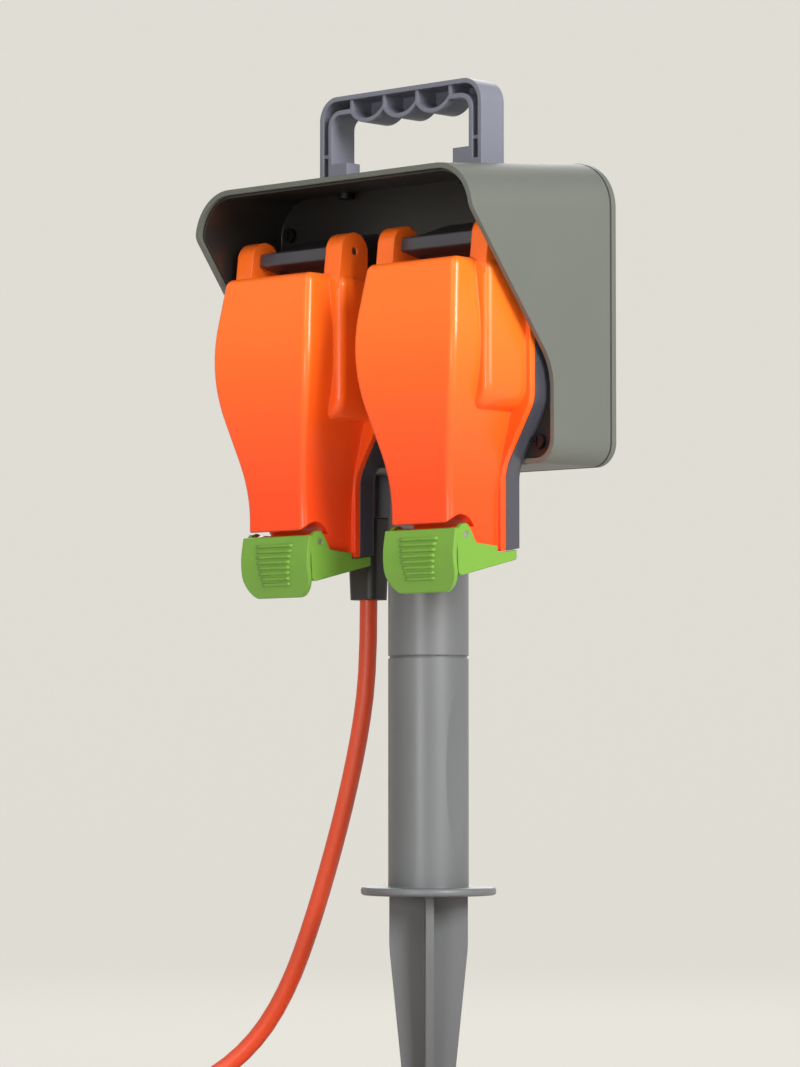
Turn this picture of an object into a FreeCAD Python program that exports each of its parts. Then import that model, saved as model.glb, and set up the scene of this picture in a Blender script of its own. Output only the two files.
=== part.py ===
import FreeCAD, Part
import math
import os

from FreeCAD import Placement, Rotation, Vector

# Garden socket spike. Millimetres, +Z up, front faces -Y, +X to the right.
# The origin is the middle of the flange's underside, where the soil stops.

# Spacing of the two outlets, which sets the width of the housing
SOCKET_PITCH = 83.0
RIM_HALF = 35.0
SIDE_ROOM = 3.5

# Housing
HOUSING_BOTTOM = 178.0
HOUSING_HEIGHT = 120.0
HOUSING_RISE = 8.0
HOUSING_HALF_FRONT = SOCKET_PITCH / 2 + RIM_HALF + SIDE_ROOM
HOUSING_SPREAD = 2.5
HOUSING_TOP_FRONT = HOUSING_BOTTOM + HOUSING_HEIGHT
HOUSING_TOP_REAR = HOUSING_TOP_FRONT + HOUSING_RISE
HOUSING_HALF_REAR = HOUSING_HALF_FRONT + HOUSING_SPREAD
HOUSING_WALL = 2.2
TOP_CORNER = 20.0
BOTTOM_CORNER = 10.0
VISOR_FRONT = -60.0
MOUTH_Y = -12.0
REAR_SEAM = 22.5
COVER_DEPTH = 4.5
COVER_REAR = REAR_SEAM + COVER_DEPTH
SIDE_BEND_LOW = HOUSING_BOTTOM + 39.0
SIDE_BEND_HIGH = HOUSING_TOP_FRONT - 19.0
LOW_BEND_RADIUS = 26.0
HIGH_BEND_RADIUS = 7.0
LEDGE_WIDTH = 4.0
LEDGE_THICK = 2.5

# Black front panel and its lining of the hood
PANEL_FRONT = MOUTH_Y + 2.0
PANEL_THICK = 3.0
LINING_THICK = 1.2
SEAL_THICK = 1.5
COVER_LIP = 3.0

# Carrying handle
HANDLE_WIDTH = 93.5
HANDLE_HEIGHT = 42.0
HANDLE_TOP = HOUSING_TOP_FRONT + HANDLE_HEIGHT
HANDLE_FRONT = -18.0
HANDLE_DEPTH = 14.0
HANDLE_LEG = 7.0
HANDLE_BAR = 8.0
HANDLE_SKIN = 2.0
HANDLE_CORNER = 10.0
BULGE_PITCH = 19.0
BULGE_DROP = 4.7
RIB_THICK = 1.6
FOOT_LUG = 9.0
FOOT_LUG_HEIGHT = 9.0
LEG_RIB_RISE = 16.0

# Stem and ground spike
STEM_DIAMETER = 34.0
STEM_WALL = 3.0
STEM_SEAM = 100.0
SEAM_GROOVE = 0.6
SPIGOT_LENGTH = 40.0
FLANGE_DIAMETER = 57.0
FLANGE_THICK = 3.5
BLADE_LENGTH = 165.0
BLADE_HALF_TOP = 16.5
BLADE_HALF_TIP = 2.0
BLADE_THICK = 3.5
FLUTE_LENGTH = 68.0
FLUTE_DEPTH = 1.6
FLUTE_RADIUS = 40.0
FLUTE_MIDDLE = STEM_SEAM - 48.0
KEY_HALF = 9.5
KEY_FRONT = -4.0
KEY_BACK = 11.0
KEY_HEIGHT = 20.0
KEY_WALL = 2.5

# Socket outlets, each pair the same
SOCKET_RISE = 48.0
SOCKET_MIDDLE = HOUSING_BOTTOM + SOCKET_RISE
TRAY_THICK = 8.0
PARTING = PANEL_FRONT - TRAY_THICK
RIM_TOP = SOCKET_MIDDLE + 36.0
RIM_SHOULDER = SOCKET_MIDDLE - 23.0
TONGUE_HALF = 19.0
TONGUE_SHOULDER = SOCKET_MIDDLE - 50.0
RIM_THICK = 3.0
TRAY_DEPTH = 5.0
TRAY_WALL = 2.6
FACE_HALF = 24.0
FACE_THICK = 4.0
FACE_SET_BACK = 2.0
FACE_FRONT = PARTING + FACE_SET_BACK
BOX_WALL = 2.0
BOX_HALF = FACE_HALF + BOX_WALL
BOX_DEPTH = 22.0
BOX_REAR = PANEL_FRONT + BOX_DEPTH
EARTH_RISE = 14.8
LINE_DROP = 7.4
LINE_OFFSET = 11.1
PIN_WIDE = 6.35
EARTH_TALL = 7.92
PIN_THIN = 3.97

# Hinge and lid
HINGE_OUT = 16.0
HINGE_Y = PARTING - HINGE_OUT
HINGE_RISE = 8.0
HINGE_Z = RIM_TOP + HINGE_RISE
HINGE_PIN = 3.0
EAR_RADIUS = 8.0
SHROUD_HALF = 21.2
SHROUD_RISE = 10.5
EAR_GAP = 0.6
EAR_WIDE = 9.2
EAR_INNER = SHROUD_HALF + EAR_GAP
EAR_OUTER = EAR_INNER + EAR_WIDE
LID_WALL = 2.2
RIM_STEP = 2.4
CHEEK_HALF = RIM_HALF - RIM_STEP
CHEEK_DEPTH = 26.0
CHEEK_FRONT = PARTING - CHEEK_DEPTH
CHEEK_BOTTOM = RIM_SHOULDER - 4.0
BAND_TOP = RIM_TOP - 1.5
BAND_TOP_HALF = 25.0
BAND_MID_HALF = 30.0
BAND_NECK_HALF = 17.0
BAND_TOP_Y = PARTING - 37.5
BAND_MID_Y = PARTING - 44.0
BAND_NECK_Y = PARTING - 32.0
BAND_MID_Z = SOCKET_MIDDLE - 6.0
NECK_Z = TONGUE_SHOULDER - 4.0
TONGUE_REACH = 128.6
BAND_ROUND = 3.0
CHEEK_ROUND = 3.5

# Latch
LATCH_Y = BAND_NECK_Y + 7.0
LATCH_RAISE = 6.6
LATCH_Z = HINGE_Z - TONGUE_REACH + LATCH_RAISE
LATCH_PIN = 2.5
LATCH_CHEEK = 2.3
LATCH_PLATE_OUT = 8.0
LATCH_FRONT = LATCH_Y - LATCH_PLATE_OUT
LATCH_TOP = LATCH_Z + 3.0
LATCH_TALL = 26.5
LATCH_BOTTOM = LATCH_TOP - LATCH_TALL
LATCH_WALL = 2.2
LATCH_ROOM = LATCH_PLATE_OUT + 0.4
HOOK_THICK = 2.5
HOOK_TIP = PANEL_FRONT - 2.5

# Supply cord, its strain relief and its plug
CORD_DIAMETER = 7.8
CORD_X = -35.0
GLAND_TALL = 18.0
RELIEF_LONG = 35.0
GLAND_BOTTOM = HOUSING_BOTTOM - GLAND_TALL
RELIEF_BOTTOM = GLAND_BOTTOM - RELIEF_LONG
FLOOR = -BLADE_LENGTH
COIL_OUTER = 106.8
COIL_GAP = 1.8
TURN_GAP = 1.0
HALF_TURNS = 15
COLUMNS = 3
COIL_X = -15.0
COIL_Y = -28.0
COIL_TURN = 45.0
TIE_WIDE = 14.0
TIE_THICK = 0.8
CORE_DIAMETER = 2.8

# Fits
SLIDE_FIT = 0.3
RUNNING_FIT = 0.05
SCREW_FIT = 0.05
SEAT_FIT = 0.2

LATCH_HALF = BAND_NECK_HALF + SLIDE_FIT + LATCH_CHEEK

# Screws
SCREW_RADIUS = 1.7
SCREW_HEAD_RADIUS = 3.2
SCREW_HEAD_THICK = 2.2
SMALL_SCREW = 1.2
SMALL_HEAD = 2.3
SMALL_HEAD_THICK = 1.5

SIDES = (("left", -SOCKET_PITCH / 2), ("right", SOCKET_PITCH / 2))


def box(x0, x1, y0, y1, z0, z1):
    """A block between two corners."""
    return Part.makeBox(x1 - x0, y1 - y0, z1 - z0, Vector(x0, y0, z0))


def rod(radius, start, end):
    """A round bar between two points."""
    way = Vector(*end) - Vector(*start)
    return Part.makeCylinder(radius, way.Length, Vector(*start), way)


def ring(outer, inner, start, end):
    """A tube between two points."""
    return rod(outer, start, end).cut(rod(inner, start, end))


def fuse(first, *others):
    """One solid from several that touch or overlap."""
    return first.fuse(list(others)).removeSplitter() if others else first


def at_front(u, v):
    """A point of a front view, x and z."""
    return Vector(u, 0, v)


def at_side(u, v):
    """A point of a side view, y and z."""
    return Vector(0, u, v)


def at_top(u, v):
    """A point of a plan view, x and y."""
    return Vector(u, v, 0)


def outline(corners, place):
    """A closed wire of straight sides whose corners (u, v, radius) are rounded."""
    count = len(corners)
    stops = []
    for i in range(count):
        here = place(*corners[i][:2])
        before = place(*corners[i - 1][:2]) - here
        after = place(*corners[(i + 1) % count][:2]) - here
        radius = corners[i][2] if len(corners[i]) > 2 else 0
        if not radius:
            stops.append((here, None, here))
            continue
        half = before.getAngle(after) / 2
        leg = radius / math.tan(half)
        before.normalize()
        after.normalize()
        inward = before + after
        inward.normalize()
        middle = here + inward * (radius / math.sin(half) - radius)
        stops.append((here + before * leg, middle, here + after * leg))
    edges = []
    for i in range(count):
        enter, middle, leave = stops[i]
        if middle:
            edges.append(Part.Arc(enter, middle, leave).toShape())
        following = stops[(i + 1) % count][0]
        if (following - leave).Length > 1e-6:
            edges.append(Part.LineSegment(leave, following).toShape())
    return Part.Wire(edges)


def slab(wire, start, way):
    """A flat plate or prism from a closed wire, moved to start and pushed along way."""
    face = Part.Face(wire)
    face.translate(Vector(*start))
    return face.extrude(Vector(*way))


def front_slab(corners, y0, y1):
    """A prism of a front-view outline from y0 to y1."""
    return slab(outline(corners, at_front), (0, y0, 0), (0, y1 - y0, 0))


def side_slab(corners, x0, x1):
    """A prism of a side-view outline from x0 to x1."""
    return slab(outline(corners, at_side), (x0, 0, 0), (x1 - x0, 0, 0))


def plan_slab(corners, z0, z1):
    """A prism of a plan-view outline from z0 to z1."""
    return slab(outline(corners, at_top), (0, 0, z0), (0, 0, z1 - z0))


def mirrored(corners):
    """Right-hand corners from top to bottom, closed with their mirror image on the left."""
    return corners + [(-c[0],) + tuple(c[1:]) for c in reversed(corners)]


def screw(head, tip, radius=SCREW_RADIUS, head_radius=SCREW_HEAD_RADIUS, head_thick=SCREW_HEAD_THICK):
    """A pan-head screw with a cross slot; head is the point under its head."""
    way = Vector(*tip) - Vector(*head)
    way.normalize()
    under = Vector(*head)
    top = under - way * head_thick
    cap = Part.makeCylinder(head_radius, head_thick, top, way)
    slot = Part.makeBox(head_radius * 1.3, 0.7, 1.0, Vector(-head_radius * 0.65, -0.35, -0.1))
    cross = slot.fuse(slot.copy().rotate(Vector(0, 0, 0), Vector(0, 0, 1), 90))
    cross.Placement = Placement(top, Rotation(Vector(0, 0, 1), way))
    return cap.fuse(rod(radius, head, tip)).cut(cross)


def rounded(shape, radius, chooser):
    """The shape with the edges that chooser picks rounded off."""
    edges = [e for e in shape.Edges if chooser(e)]
    return shape.makeFillet(radius, edges)


def export(name, shape):
    """One STEP file for a node, holding its solids alone."""
    solids = shape.Solids
    whole = solids[0] if len(solids) == 1 else Part.makeCompound(solids)
    bad = [s for s in solids if not s.isValid() or s.Volume <= 0]
    if bad:
        print("check", name, "has", len(bad), "bad solids")
    whole.exportStep("parts/" + name + ".step")
    print(name, len(solids), round(sum(s.Volume for s in solids), 1))


# Housing, hood and everything fixed to it
HOOD_LENGTH = COVER_REAR - VISOR_FRONT
COVER_HOLE = 5.0
BOSS_RADIUS = 4.5
GLAND_HOLE = 7.5


def share(y):
    """How far back along the hood a depth lies, 0 at the visor's edge."""
    return (y - VISOR_FRONT) / HOOD_LENGTH


def half_at(y):
    return HOUSING_HALF_FRONT + (HOUSING_HALF_REAR - HOUSING_HALF_FRONT) * share(y)


def top_at(y):
    return HOUSING_TOP_FRONT + (HOUSING_TOP_REAR - HOUSING_TOP_FRONT) * share(y)


def hood_section(y, inset):
    """The housing's rounded outline at a depth, moved inwards by inset."""
    right = [
        (half_at(y) - inset, top_at(y) - inset, max(TOP_CORNER - inset, 1.0)),
        (half_at(y) - inset, HOUSING_BOTTOM + inset, max(BOTTOM_CORNER - inset, 1.0)),
    ]
    wire = outline(mirrored(right), at_front)
    wire.translate(Vector(0, y, 0))
    return wire


def hood_block(y0, y1, inset):
    """The solid inside the housing's outline between two depths."""
    return Part.makeLoft([hood_section(y0, inset), hood_section(y1, inset)], True, True)


def side_trim(inset, rear):
    """What the slanted side edges leave of the hood, as a prism across it."""
    reach = HOUSING_HALF_REAR + 10
    corners = [
        (VISOR_FRONT + inset, HOUSING_TOP_REAR + 10),
        (VISOR_FRONT + inset, SIDE_BEND_HIGH, HIGH_BEND_RADIUS),
        (MOUTH_Y + inset, SIDE_BEND_LOW, LOW_BEND_RADIUS),
        (MOUTH_Y + inset, HOUSING_BOTTOM - 10),
        (rear, HOUSING_BOTTOM - 10),
        (rear, HOUSING_TOP_REAR + 10),
    ]
    return side_slab(corners, -reach, reach)


BOSS_X = HOUSING_HALF_FRONT - 8
BOSS_PLACES = [(x, z) for x in (-BOSS_X, BOSS_X) for z in (HOUSING_BOTTOM + 9, HOUSING_TOP_FRONT - 14)]
LEDGE_FRONT = PANEL_FRONT + PANEL_THICK + SEAL_THICK
STEM_SCREWS = [(-13.2, 3.5), (13.2, 3.5)]
LEG_MIDDLE = HANDLE_WIDTH / 2 - HANDLE_LEG - FOOT_LUG / 2
LUG_MIDDLE = PANEL_FRONT - SCREW_HEAD_RADIUS - 0.8
HANDLE_SEAT = HOUSING_TOP_FRONT - HOUSING_WALL - LINING_THICK


def make_housing():
    """Grey hood and box, open in front and behind, with a ledge for the front panel."""
    outer = hood_block(VISOR_FRONT, REAR_SEAM, 0)
    inner = hood_block(VISOR_FRONT, REAR_SEAM, HOUSING_WALL)
    shell = outer.cut(inner).common(side_trim(0, REAR_SEAM))
    rim = hood_block(LEDGE_FRONT, LEDGE_FRONT + LEDGE_THICK, HOUSING_WALL / 2)
    rim = rim.cut(hood_block(LEDGE_FRONT, LEDGE_FRONT + LEDGE_THICK, HOUSING_WALL + LEDGE_WIDTH))
    shell = shell.fuse(rim)
    for x, z in BOSS_PLACES:
        shell = shell.fuse(rod(BOSS_RADIUS, (x, LEDGE_FRONT, z), (x, REAR_SEAM - COVER_LIP, z)))
        side = math.copysign(half_at(0) - HOUSING_WALL / 2, x)
        web = sorted((x, side))
        shell = shell.fuse(box(web[0], web[1], LEDGE_FRONT, REAR_SEAM - COVER_LIP, z - 1, z + 1))
    shell = shell.removeSplitter()
    for x, z in BOSS_PLACES:
        shell = shell.cut(rod(SCREW_RADIUS, (x, REAR_SEAM - 14, z), (x, REAR_SEAM, z)))
        shell = shell.cut(rod(SCREW_RADIUS, (x, LEDGE_FRONT - 1, z), (x, LEDGE_FRONT + 8, z)))
    key = box(-KEY_HALF - SEAT_FIT, KEY_HALF + SEAT_FIT, KEY_FRONT - SEAT_FIT, KEY_BACK + SEAT_FIT,
              HOUSING_BOTTOM - 1, HOUSING_BOTTOM + HOUSING_WALL + 1)
    shell = shell.cut(key)
    for x, y in STEM_SCREWS:
        hole = rod(SCREW_RADIUS + SCREW_FIT, (x, y, HOUSING_BOTTOM - 1), (x, y, HOUSING_BOTTOM + 4))
        shell = shell.cut(hole)
    for side in (-1, 1):
        x = side * LEG_MIDDLE
        low = (x, LUG_MIDDLE, HANDLE_SEAT - 1)
        shell = shell.cut(rod(SCREW_RADIUS + SCREW_FIT, low, (x, LUG_MIDDLE, HANDLE_SEAT + 12)))
    gland = rod(GLAND_HOLE, (CORD_X, 0, HOUSING_BOTTOM - 1), (CORD_X, 0, HOUSING_BOTTOM + 4))
    shell = shell.cut(gland)
    for x, y in clamp_screw_places():
        shell = shell.cut(rod(SMALL_SCREW, (x, y, HOUSING_BOTTOM + 0.3), (x, y, CLAMP_LOW + 1)))
    gap = box(CORD_X - CLAMP_HALF - SEAT_FIT, KEY_HALF + SEAT_FIT, LEDGE_FRONT - 1, LEDGE_FRONT + LEDGE_THICK,
              CLAMP_LOW, CLAMP_LOW + LEDGE_WIDTH + 1)
    shell = shell.cut(gap)
    for _, x in SIDES:
        half = TONGUE_HALF + 5
        shell = shell.cut(box(x - half, x + half, MOUTH_Y - 1, PANEL_FRONT,
                              HOUSING_BOTTOM - 1, CLAMP_LOW + 1))
    return shell


def make_front_panel():
    """Black panel behind the outlets, with the lining of the hood in one piece."""
    plate = hood_block(PANEL_FRONT, PANEL_FRONT + PANEL_THICK, HOUSING_WALL)
    lining = hood_block(VISOR_FRONT, PANEL_FRONT, HOUSING_WALL)
    lining = lining.cut(hood_block(VISOR_FRONT, PANEL_FRONT, HOUSING_WALL + LINING_THICK))
    lining = lining.common(side_trim(2.0, 0.0))
    lining = lining.common(box(-200, 200, VISOR_FRONT, PANEL_FRONT, SIDE_BEND_LOW - 5, 400))
    panel = plate.fuse(lining).removeSplitter()
    for _, x in SIDES:
        panel = panel.cut(box(x - BOX_HALF - SEAT_FIT, x + BOX_HALF + SEAT_FIT, PANEL_FRONT - 1,
                              PANEL_FRONT + PANEL_THICK + 1, SOCKET_MIDDLE - BOX_HALF - SEAT_FIT,
                              SOCKET_MIDDLE + BOX_HALF + SEAT_FIT))
    for x, z in BOSS_PLACES:
        panel = panel.cut(rod(SCREW_RADIUS + SCREW_FIT, (x, PANEL_FRONT - 1, z), (x, 0, z)))
    for side in (-1, 1):
        x = side * LEG_MIDDLE
        low = top_at(LUG_MIDDLE) - 20
        high = top_at(LUG_MIDDLE) + 5
        panel = panel.cut(rod(SCREW_RADIUS + SCREW_FIT, (x, LUG_MIDDLE, low), (x, LUG_MIDDLE, high)))
    for x, z in OUTLET_SCREWS:
        panel = panel.cut(rod(SMALL_SCREW, (x, PANEL_FRONT - 1, z), (x, 0, z)))
    return panel


def make_panel_seal():
    """Soft ring between the front panel and the housing's ledge."""
    back = PANEL_FRONT + PANEL_THICK
    ring_block = hood_block(back, LEDGE_FRONT, HOUSING_WALL)
    seal = ring_block.cut(hood_block(back, LEDGE_FRONT, HOUSING_WALL + LEDGE_WIDTH - 0.4))
    return seal


def make_back_cover():
    """Shallow back cover whose lip drops inside the housing, with sunk screw places."""
    plate = hood_block(REAR_SEAM, COVER_REAR, 0)
    plate = rounded(plate, 2.0, lambda e: abs(e.BoundBox.YMin - COVER_REAR) < 0.01)
    lip_outer = hood_block(REAR_SEAM - COVER_LIP, REAR_SEAM, HOUSING_WALL + SEAT_FIT)
    lip_inner = hood_block(REAR_SEAM - COVER_LIP, REAR_SEAM, HOUSING_WALL * 2 + SEAT_FIT)
    hollow = hood_block(REAR_SEAM - 1, COVER_REAR - HOUSING_WALL, HOUSING_WALL * 2 + SEAT_FIT)
    cover = plate.fuse(lip_outer.cut(lip_inner)).cut(hollow)
    for x, z in BOSS_PLACES:
        seat = REAR_SEAM - COVER_LIP
        cover = cover.fuse(rod(COVER_HOLE, (x, seat, z), (x, COVER_REAR - 0.5, z)))
    cover = cover.removeSplitter()
    for x, z in BOSS_PLACES:
        cover = cover.cut(rod(SCREW_RADIUS + SCREW_FIT, (x, 0, z), (x, COVER_REAR + 1, z)))
        cover = cover.cut(rod(SCREW_HEAD_RADIUS + SEAT_FIT, (x, REAR_SEAM, z), (x, COVER_REAR + 1, z)))
    return cover


def make_housing_screws():
    """Four screws through the back cover and four through the front panel."""
    pieces = [screw((x, REAR_SEAM, z), (x, REAR_SEAM - 13, z)) for x, z in BOSS_PLACES]
    pieces += [screw((x, PANEL_FRONT, z), (x, LEDGE_FRONT + 7, z)) for x, z in BOSS_PLACES]
    return Part.makeCompound(pieces)


def window(grow):
    """The opening under the handle's bar, moved outwards by grow, with three finger bulges."""
    half = HANDLE_WIDTH / 2 - HANDLE_LEG + grow
    top = HANDLE_TOP - HANDLE_BAR + grow
    corner = 5.0 + grow
    low = HOUSING_TOP_FRONT - 10
    knee = half - corner
    bend = corner * math.sin(math.pi / 4)
    points = [
        Part.LineSegment(at_front(-half, low), at_front(-half, top - corner)),
        Part.Arc(at_front(-half, top - corner), at_front(-knee - bend, top - corner + bend),
                 at_front(-knee, top)),
        Part.LineSegment(at_front(-knee, top), at_front(-1.5 * BULGE_PITCH, top)),
    ]
    for i in range(3):
        start = (i - 1.5) * BULGE_PITCH
        points.append(Part.Arc(at_front(start, top), at_front(start + BULGE_PITCH / 2, top - BULGE_DROP),
                               at_front(start + BULGE_PITCH, top)))
    points += [
        Part.LineSegment(at_front(1.5 * BULGE_PITCH, top), at_front(knee, top)),
        Part.Arc(at_front(knee, top), at_front(knee + bend, top - corner + bend),
                 at_front(half, top - corner)),
        Part.LineSegment(at_front(half, top - corner), at_front(half, low)),
        Part.LineSegment(at_front(half, low), at_front(-half, low)),
    ]
    return Part.Wire([p.toShape() for p in points])


def handle_arch(inset):
    """The handle's outer outline as corners, moved inwards by inset."""
    half = HANDLE_WIDTH / 2 - inset
    low = HOUSING_TOP_FRONT - 10
    right = [(half, HANDLE_TOP - inset, HANDLE_CORNER - inset), (half, low)]
    return mirrored(right)


def make_handle():
    """Channel-section handle, open in front, with cross ribs, finger bulges and foot lugs."""
    back = HANDLE_FRONT + HANDLE_DEPTH
    body = front_slab(handle_arch(0), HANDLE_FRONT, back)
    body = body.cut(slab(window(0), (0, HANDLE_FRONT - 1, 0), (0, HANDLE_DEPTH + 2, 0)))
    pocket = front_slab(handle_arch(HANDLE_SKIN), HANDLE_FRONT - 1, back - HANDLE_SKIN)
    pocket = pocket.cut(slab(window(HANDLE_SKIN), (0, HANDLE_FRONT - 2, 0), (0, HANDLE_DEPTH + 2, 0)))
    body = body.cut(pocket)
    ribs = []
    for i in range(4):
        x = (i - 1.5) * BULGE_PITCH
        ribs.append(box(x - RIB_THICK / 2, x + RIB_THICK / 2, HANDLE_FRONT + 0.6, back,
                        HANDLE_TOP - HANDLE_BAR, HANDLE_TOP - HANDLE_SKIN / 2))
    leg = HANDLE_WIDTH / 2
    leg_rib = HOUSING_TOP_FRONT + LEG_RIB_RISE
    for side in (-1, 1):
        span = sorted((side * (leg - HANDLE_LEG + HANDLE_SKIN / 2), side * (leg - HANDLE_SKIN / 2)))
        ribs.append(box(span[0], span[1], HANDLE_FRONT + 0.6, back, leg_rib, leg_rib + RIB_THICK))
        lug = sorted((side * (leg - HANDLE_LEG), side * (leg - HANDLE_LEG - FOOT_LUG)))
        ribs.append(box(lug[0], lug[1], LUG_MIDDLE - 4.0, LUG_MIDDLE + 4.0,
                        HOUSING_TOP_FRONT - 10, top_at(LUG_MIDDLE) + FOOT_LUG_HEIGHT))
        foot = sorted((side * (leg - HANDLE_LEG), side * leg))
        ribs.append(box(foot[0], foot[1], HANDLE_FRONT, back, HOUSING_TOP_FRONT - 10, top_at(back) + 3))
    handle = body.fuse(ribs).removeSplitter()
    handle = handle.cut(hood_block(VISOR_FRONT, COVER_REAR, 0))
    for side in (-1, 1):
        x = side * LEG_MIDDLE
        low = (x, LUG_MIDDLE, HANDLE_SEAT)
        handle = handle.cut(rod(SCREW_RADIUS, low, (x, LUG_MIDDLE, HANDLE_SEAT + 12)))
    return handle


def make_handle_screws():
    """Two screws up through the hood's roof into the handle's foot lugs."""
    pieces = []
    low = top_at(LUG_MIDDLE - SCREW_HEAD_RADIUS) - HOUSING_WALL - LINING_THICK
    for side in (-1, 1):
        x = side * LEG_MIDDLE
        pieces.append(screw((x, LUG_MIDDLE, low), (x, LUG_MIDDLE, HANDLE_SEAT + 11)))
    return Part.makeCompound(pieces)


# Stem, flange and ground spike
STEM_RADIUS = STEM_DIAMETER / 2
STEM_BORE = STEM_RADIUS - STEM_WALL
SPIGOT_RADIUS = STEM_BORE - RUNNING_FIT
LOCK_Z = STEM_SEAM - SPIGOT_LENGTH / 2
CAP_THICK = 3.0


def seam_groove():
    """The groove that shows round the stem where its two tubes meet."""
    return ring(STEM_RADIUS + 1, STEM_RADIUS - SEAM_GROOVE,
                (0, 0, STEM_SEAM - SEAM_GROOVE), (0, 0, STEM_SEAM + SEAM_GROOVE))


def make_stem_tube():
    """Upper stem: capped tube with a key into the housing and a spigot into the lower tube."""
    tube = ring(STEM_RADIUS, STEM_BORE, (0, 0, STEM_SEAM), (0, 0, HOUSING_BOTTOM))
    cap = rod(STEM_RADIUS, (0, 0, HOUSING_BOTTOM - CAP_THICK), (0, 0, HOUSING_BOTTOM))
    spigot_bore = SPIGOT_RADIUS - STEM_WALL
    spigot = ring(SPIGOT_RADIUS, spigot_bore, (0, 0, STEM_SEAM - SPIGOT_LENGTH), (0, 0, STEM_SEAM + 2))
    shoulder = ring(STEM_RADIUS, spigot_bore, (0, 0, STEM_SEAM), (0, 0, STEM_SEAM + 3))
    key = box(-KEY_HALF, KEY_HALF, KEY_FRONT, KEY_BACK, HOUSING_BOTTOM - 1, HOUSING_BOTTOM + KEY_HEIGHT)
    key = key.cut(box(-KEY_HALF + KEY_WALL, KEY_HALF - KEY_WALL, KEY_FRONT + KEY_WALL, KEY_BACK - KEY_WALL,
                      HOUSING_BOTTOM, HOUSING_BOTTOM + KEY_HEIGHT + 1))
    bosses = []
    for x, y in STEM_SCREWS:
        post = rod(3.2, (x, y, HOUSING_BOTTOM - 14), (x, y, HOUSING_BOTTOM))
        bosses.append(post.common(rod(STEM_RADIUS, (0, 0, HOUSING_BOTTOM - 20), (0, 0, HOUSING_BOTTOM))))
    stem = fuse(tube, cap, spigot, shoulder, key, *bosses)
    for x, y in STEM_SCREWS:
        stem = stem.cut(rod(SCREW_RADIUS, (x, y, HOUSING_BOTTOM - 12), (x, y, HOUSING_BOTTOM + 1)))
    return stem.cut(rod(SCREW_RADIUS, (0, 5, LOCK_Z), (0, STEM_RADIUS, LOCK_Z))).cut(seam_groove())


def make_stem_screws():
    """Two screws down through the housing's floor into the stem."""
    top = HOUSING_BOTTOM + HOUSING_WALL
    return Part.makeCompound([screw((x, y, top), (x, y, HOUSING_BOTTOM - 11)) for x, y in STEM_SCREWS])


def flute(side):
    """A long shallow scoop with pointed ends in the side of the lower tube."""
    axis = side * (STEM_RADIUS - FLUTE_DEPTH + FLUTE_RADIUS)
    ends = FLUTE_RADIUS - FLUTE_DEPTH
    low = FLUTE_MIDDLE - FLUTE_LENGTH / 2
    high = FLUTE_MIDDLE + FLUTE_LENGTH / 2
    towards = axis - side * ends
    edges = [
        Part.Arc(Vector(towards, 0, low), Vector(axis - side * FLUTE_RADIUS, 0, FLUTE_MIDDLE),
                 Vector(towards, 0, high)).toShape(),
        Part.LineSegment(Vector(towards, 0, high), Vector(axis, 0, high)).toShape(),
        Part.LineSegment(Vector(axis, 0, high), Vector(axis, 0, low)).toShape(),
        Part.LineSegment(Vector(axis, 0, low), Vector(towards, 0, low)).toShape(),
    ]
    face = Part.Face(Part.Wire(edges))
    return face.revolve(Vector(axis, 0, 0), Vector(0, 0, 1), 360)


def make_spike():
    """Cross-bladed spike, soil flange and lower tube in one moulding."""
    blade = [
        (BLADE_HALF_TOP, FLANGE_THICK / 2),
        (BLADE_HALF_TOP, -22.0, 60.0),
        (BLADE_HALF_TIP, -BLADE_LENGTH, 0),
    ]
    plate = front_slab(mirrored(blade), -BLADE_THICK / 2, BLADE_THICK / 2)
    one = plate.copy()
    one.rotate(Vector(0, 0, 0), Vector(0, 0, 1), 45)
    other = plate.copy()
    other.rotate(Vector(0, 0, 0), Vector(0, 0, 1), -45)
    disc = rod(FLANGE_DIAMETER / 2, (0, 0, 0), (0, 0, FLANGE_THICK))
    disc = rounded(disc, 1.4, lambda e: e.BoundBox.XLength > FLANGE_DIAMETER - 1)
    tube = ring(STEM_RADIUS, STEM_BORE, (0, 0, FLANGE_THICK), (0, 0, STEM_SEAM))
    foot = rod(STEM_RADIUS, (0, 0, FLANGE_THICK / 2), (0, 0, FLANGE_THICK + STEM_WALL))
    spike = fuse(disc, one, other, tube, foot).cut(seam_groove())
    for side in (-1, 1):
        spike = spike.cut(flute(side))
    hole = rod(SCREW_RADIUS + SCREW_FIT, (0, 5, LOCK_Z), (0, STEM_RADIUS + 1, LOCK_Z))
    flat = box(-4, 4, STEM_RADIUS - 0.6, STEM_RADIUS + 1, LOCK_Z - 4, LOCK_Z + 4)
    return spike.cut(hole).cut(flat)


def make_lock_screw():
    """The screw that keeps the two stem lengths together."""
    seat = STEM_RADIUS - 0.6
    return screw((0, seat, LOCK_Z), (0, 8, LOCK_Z))


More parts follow.
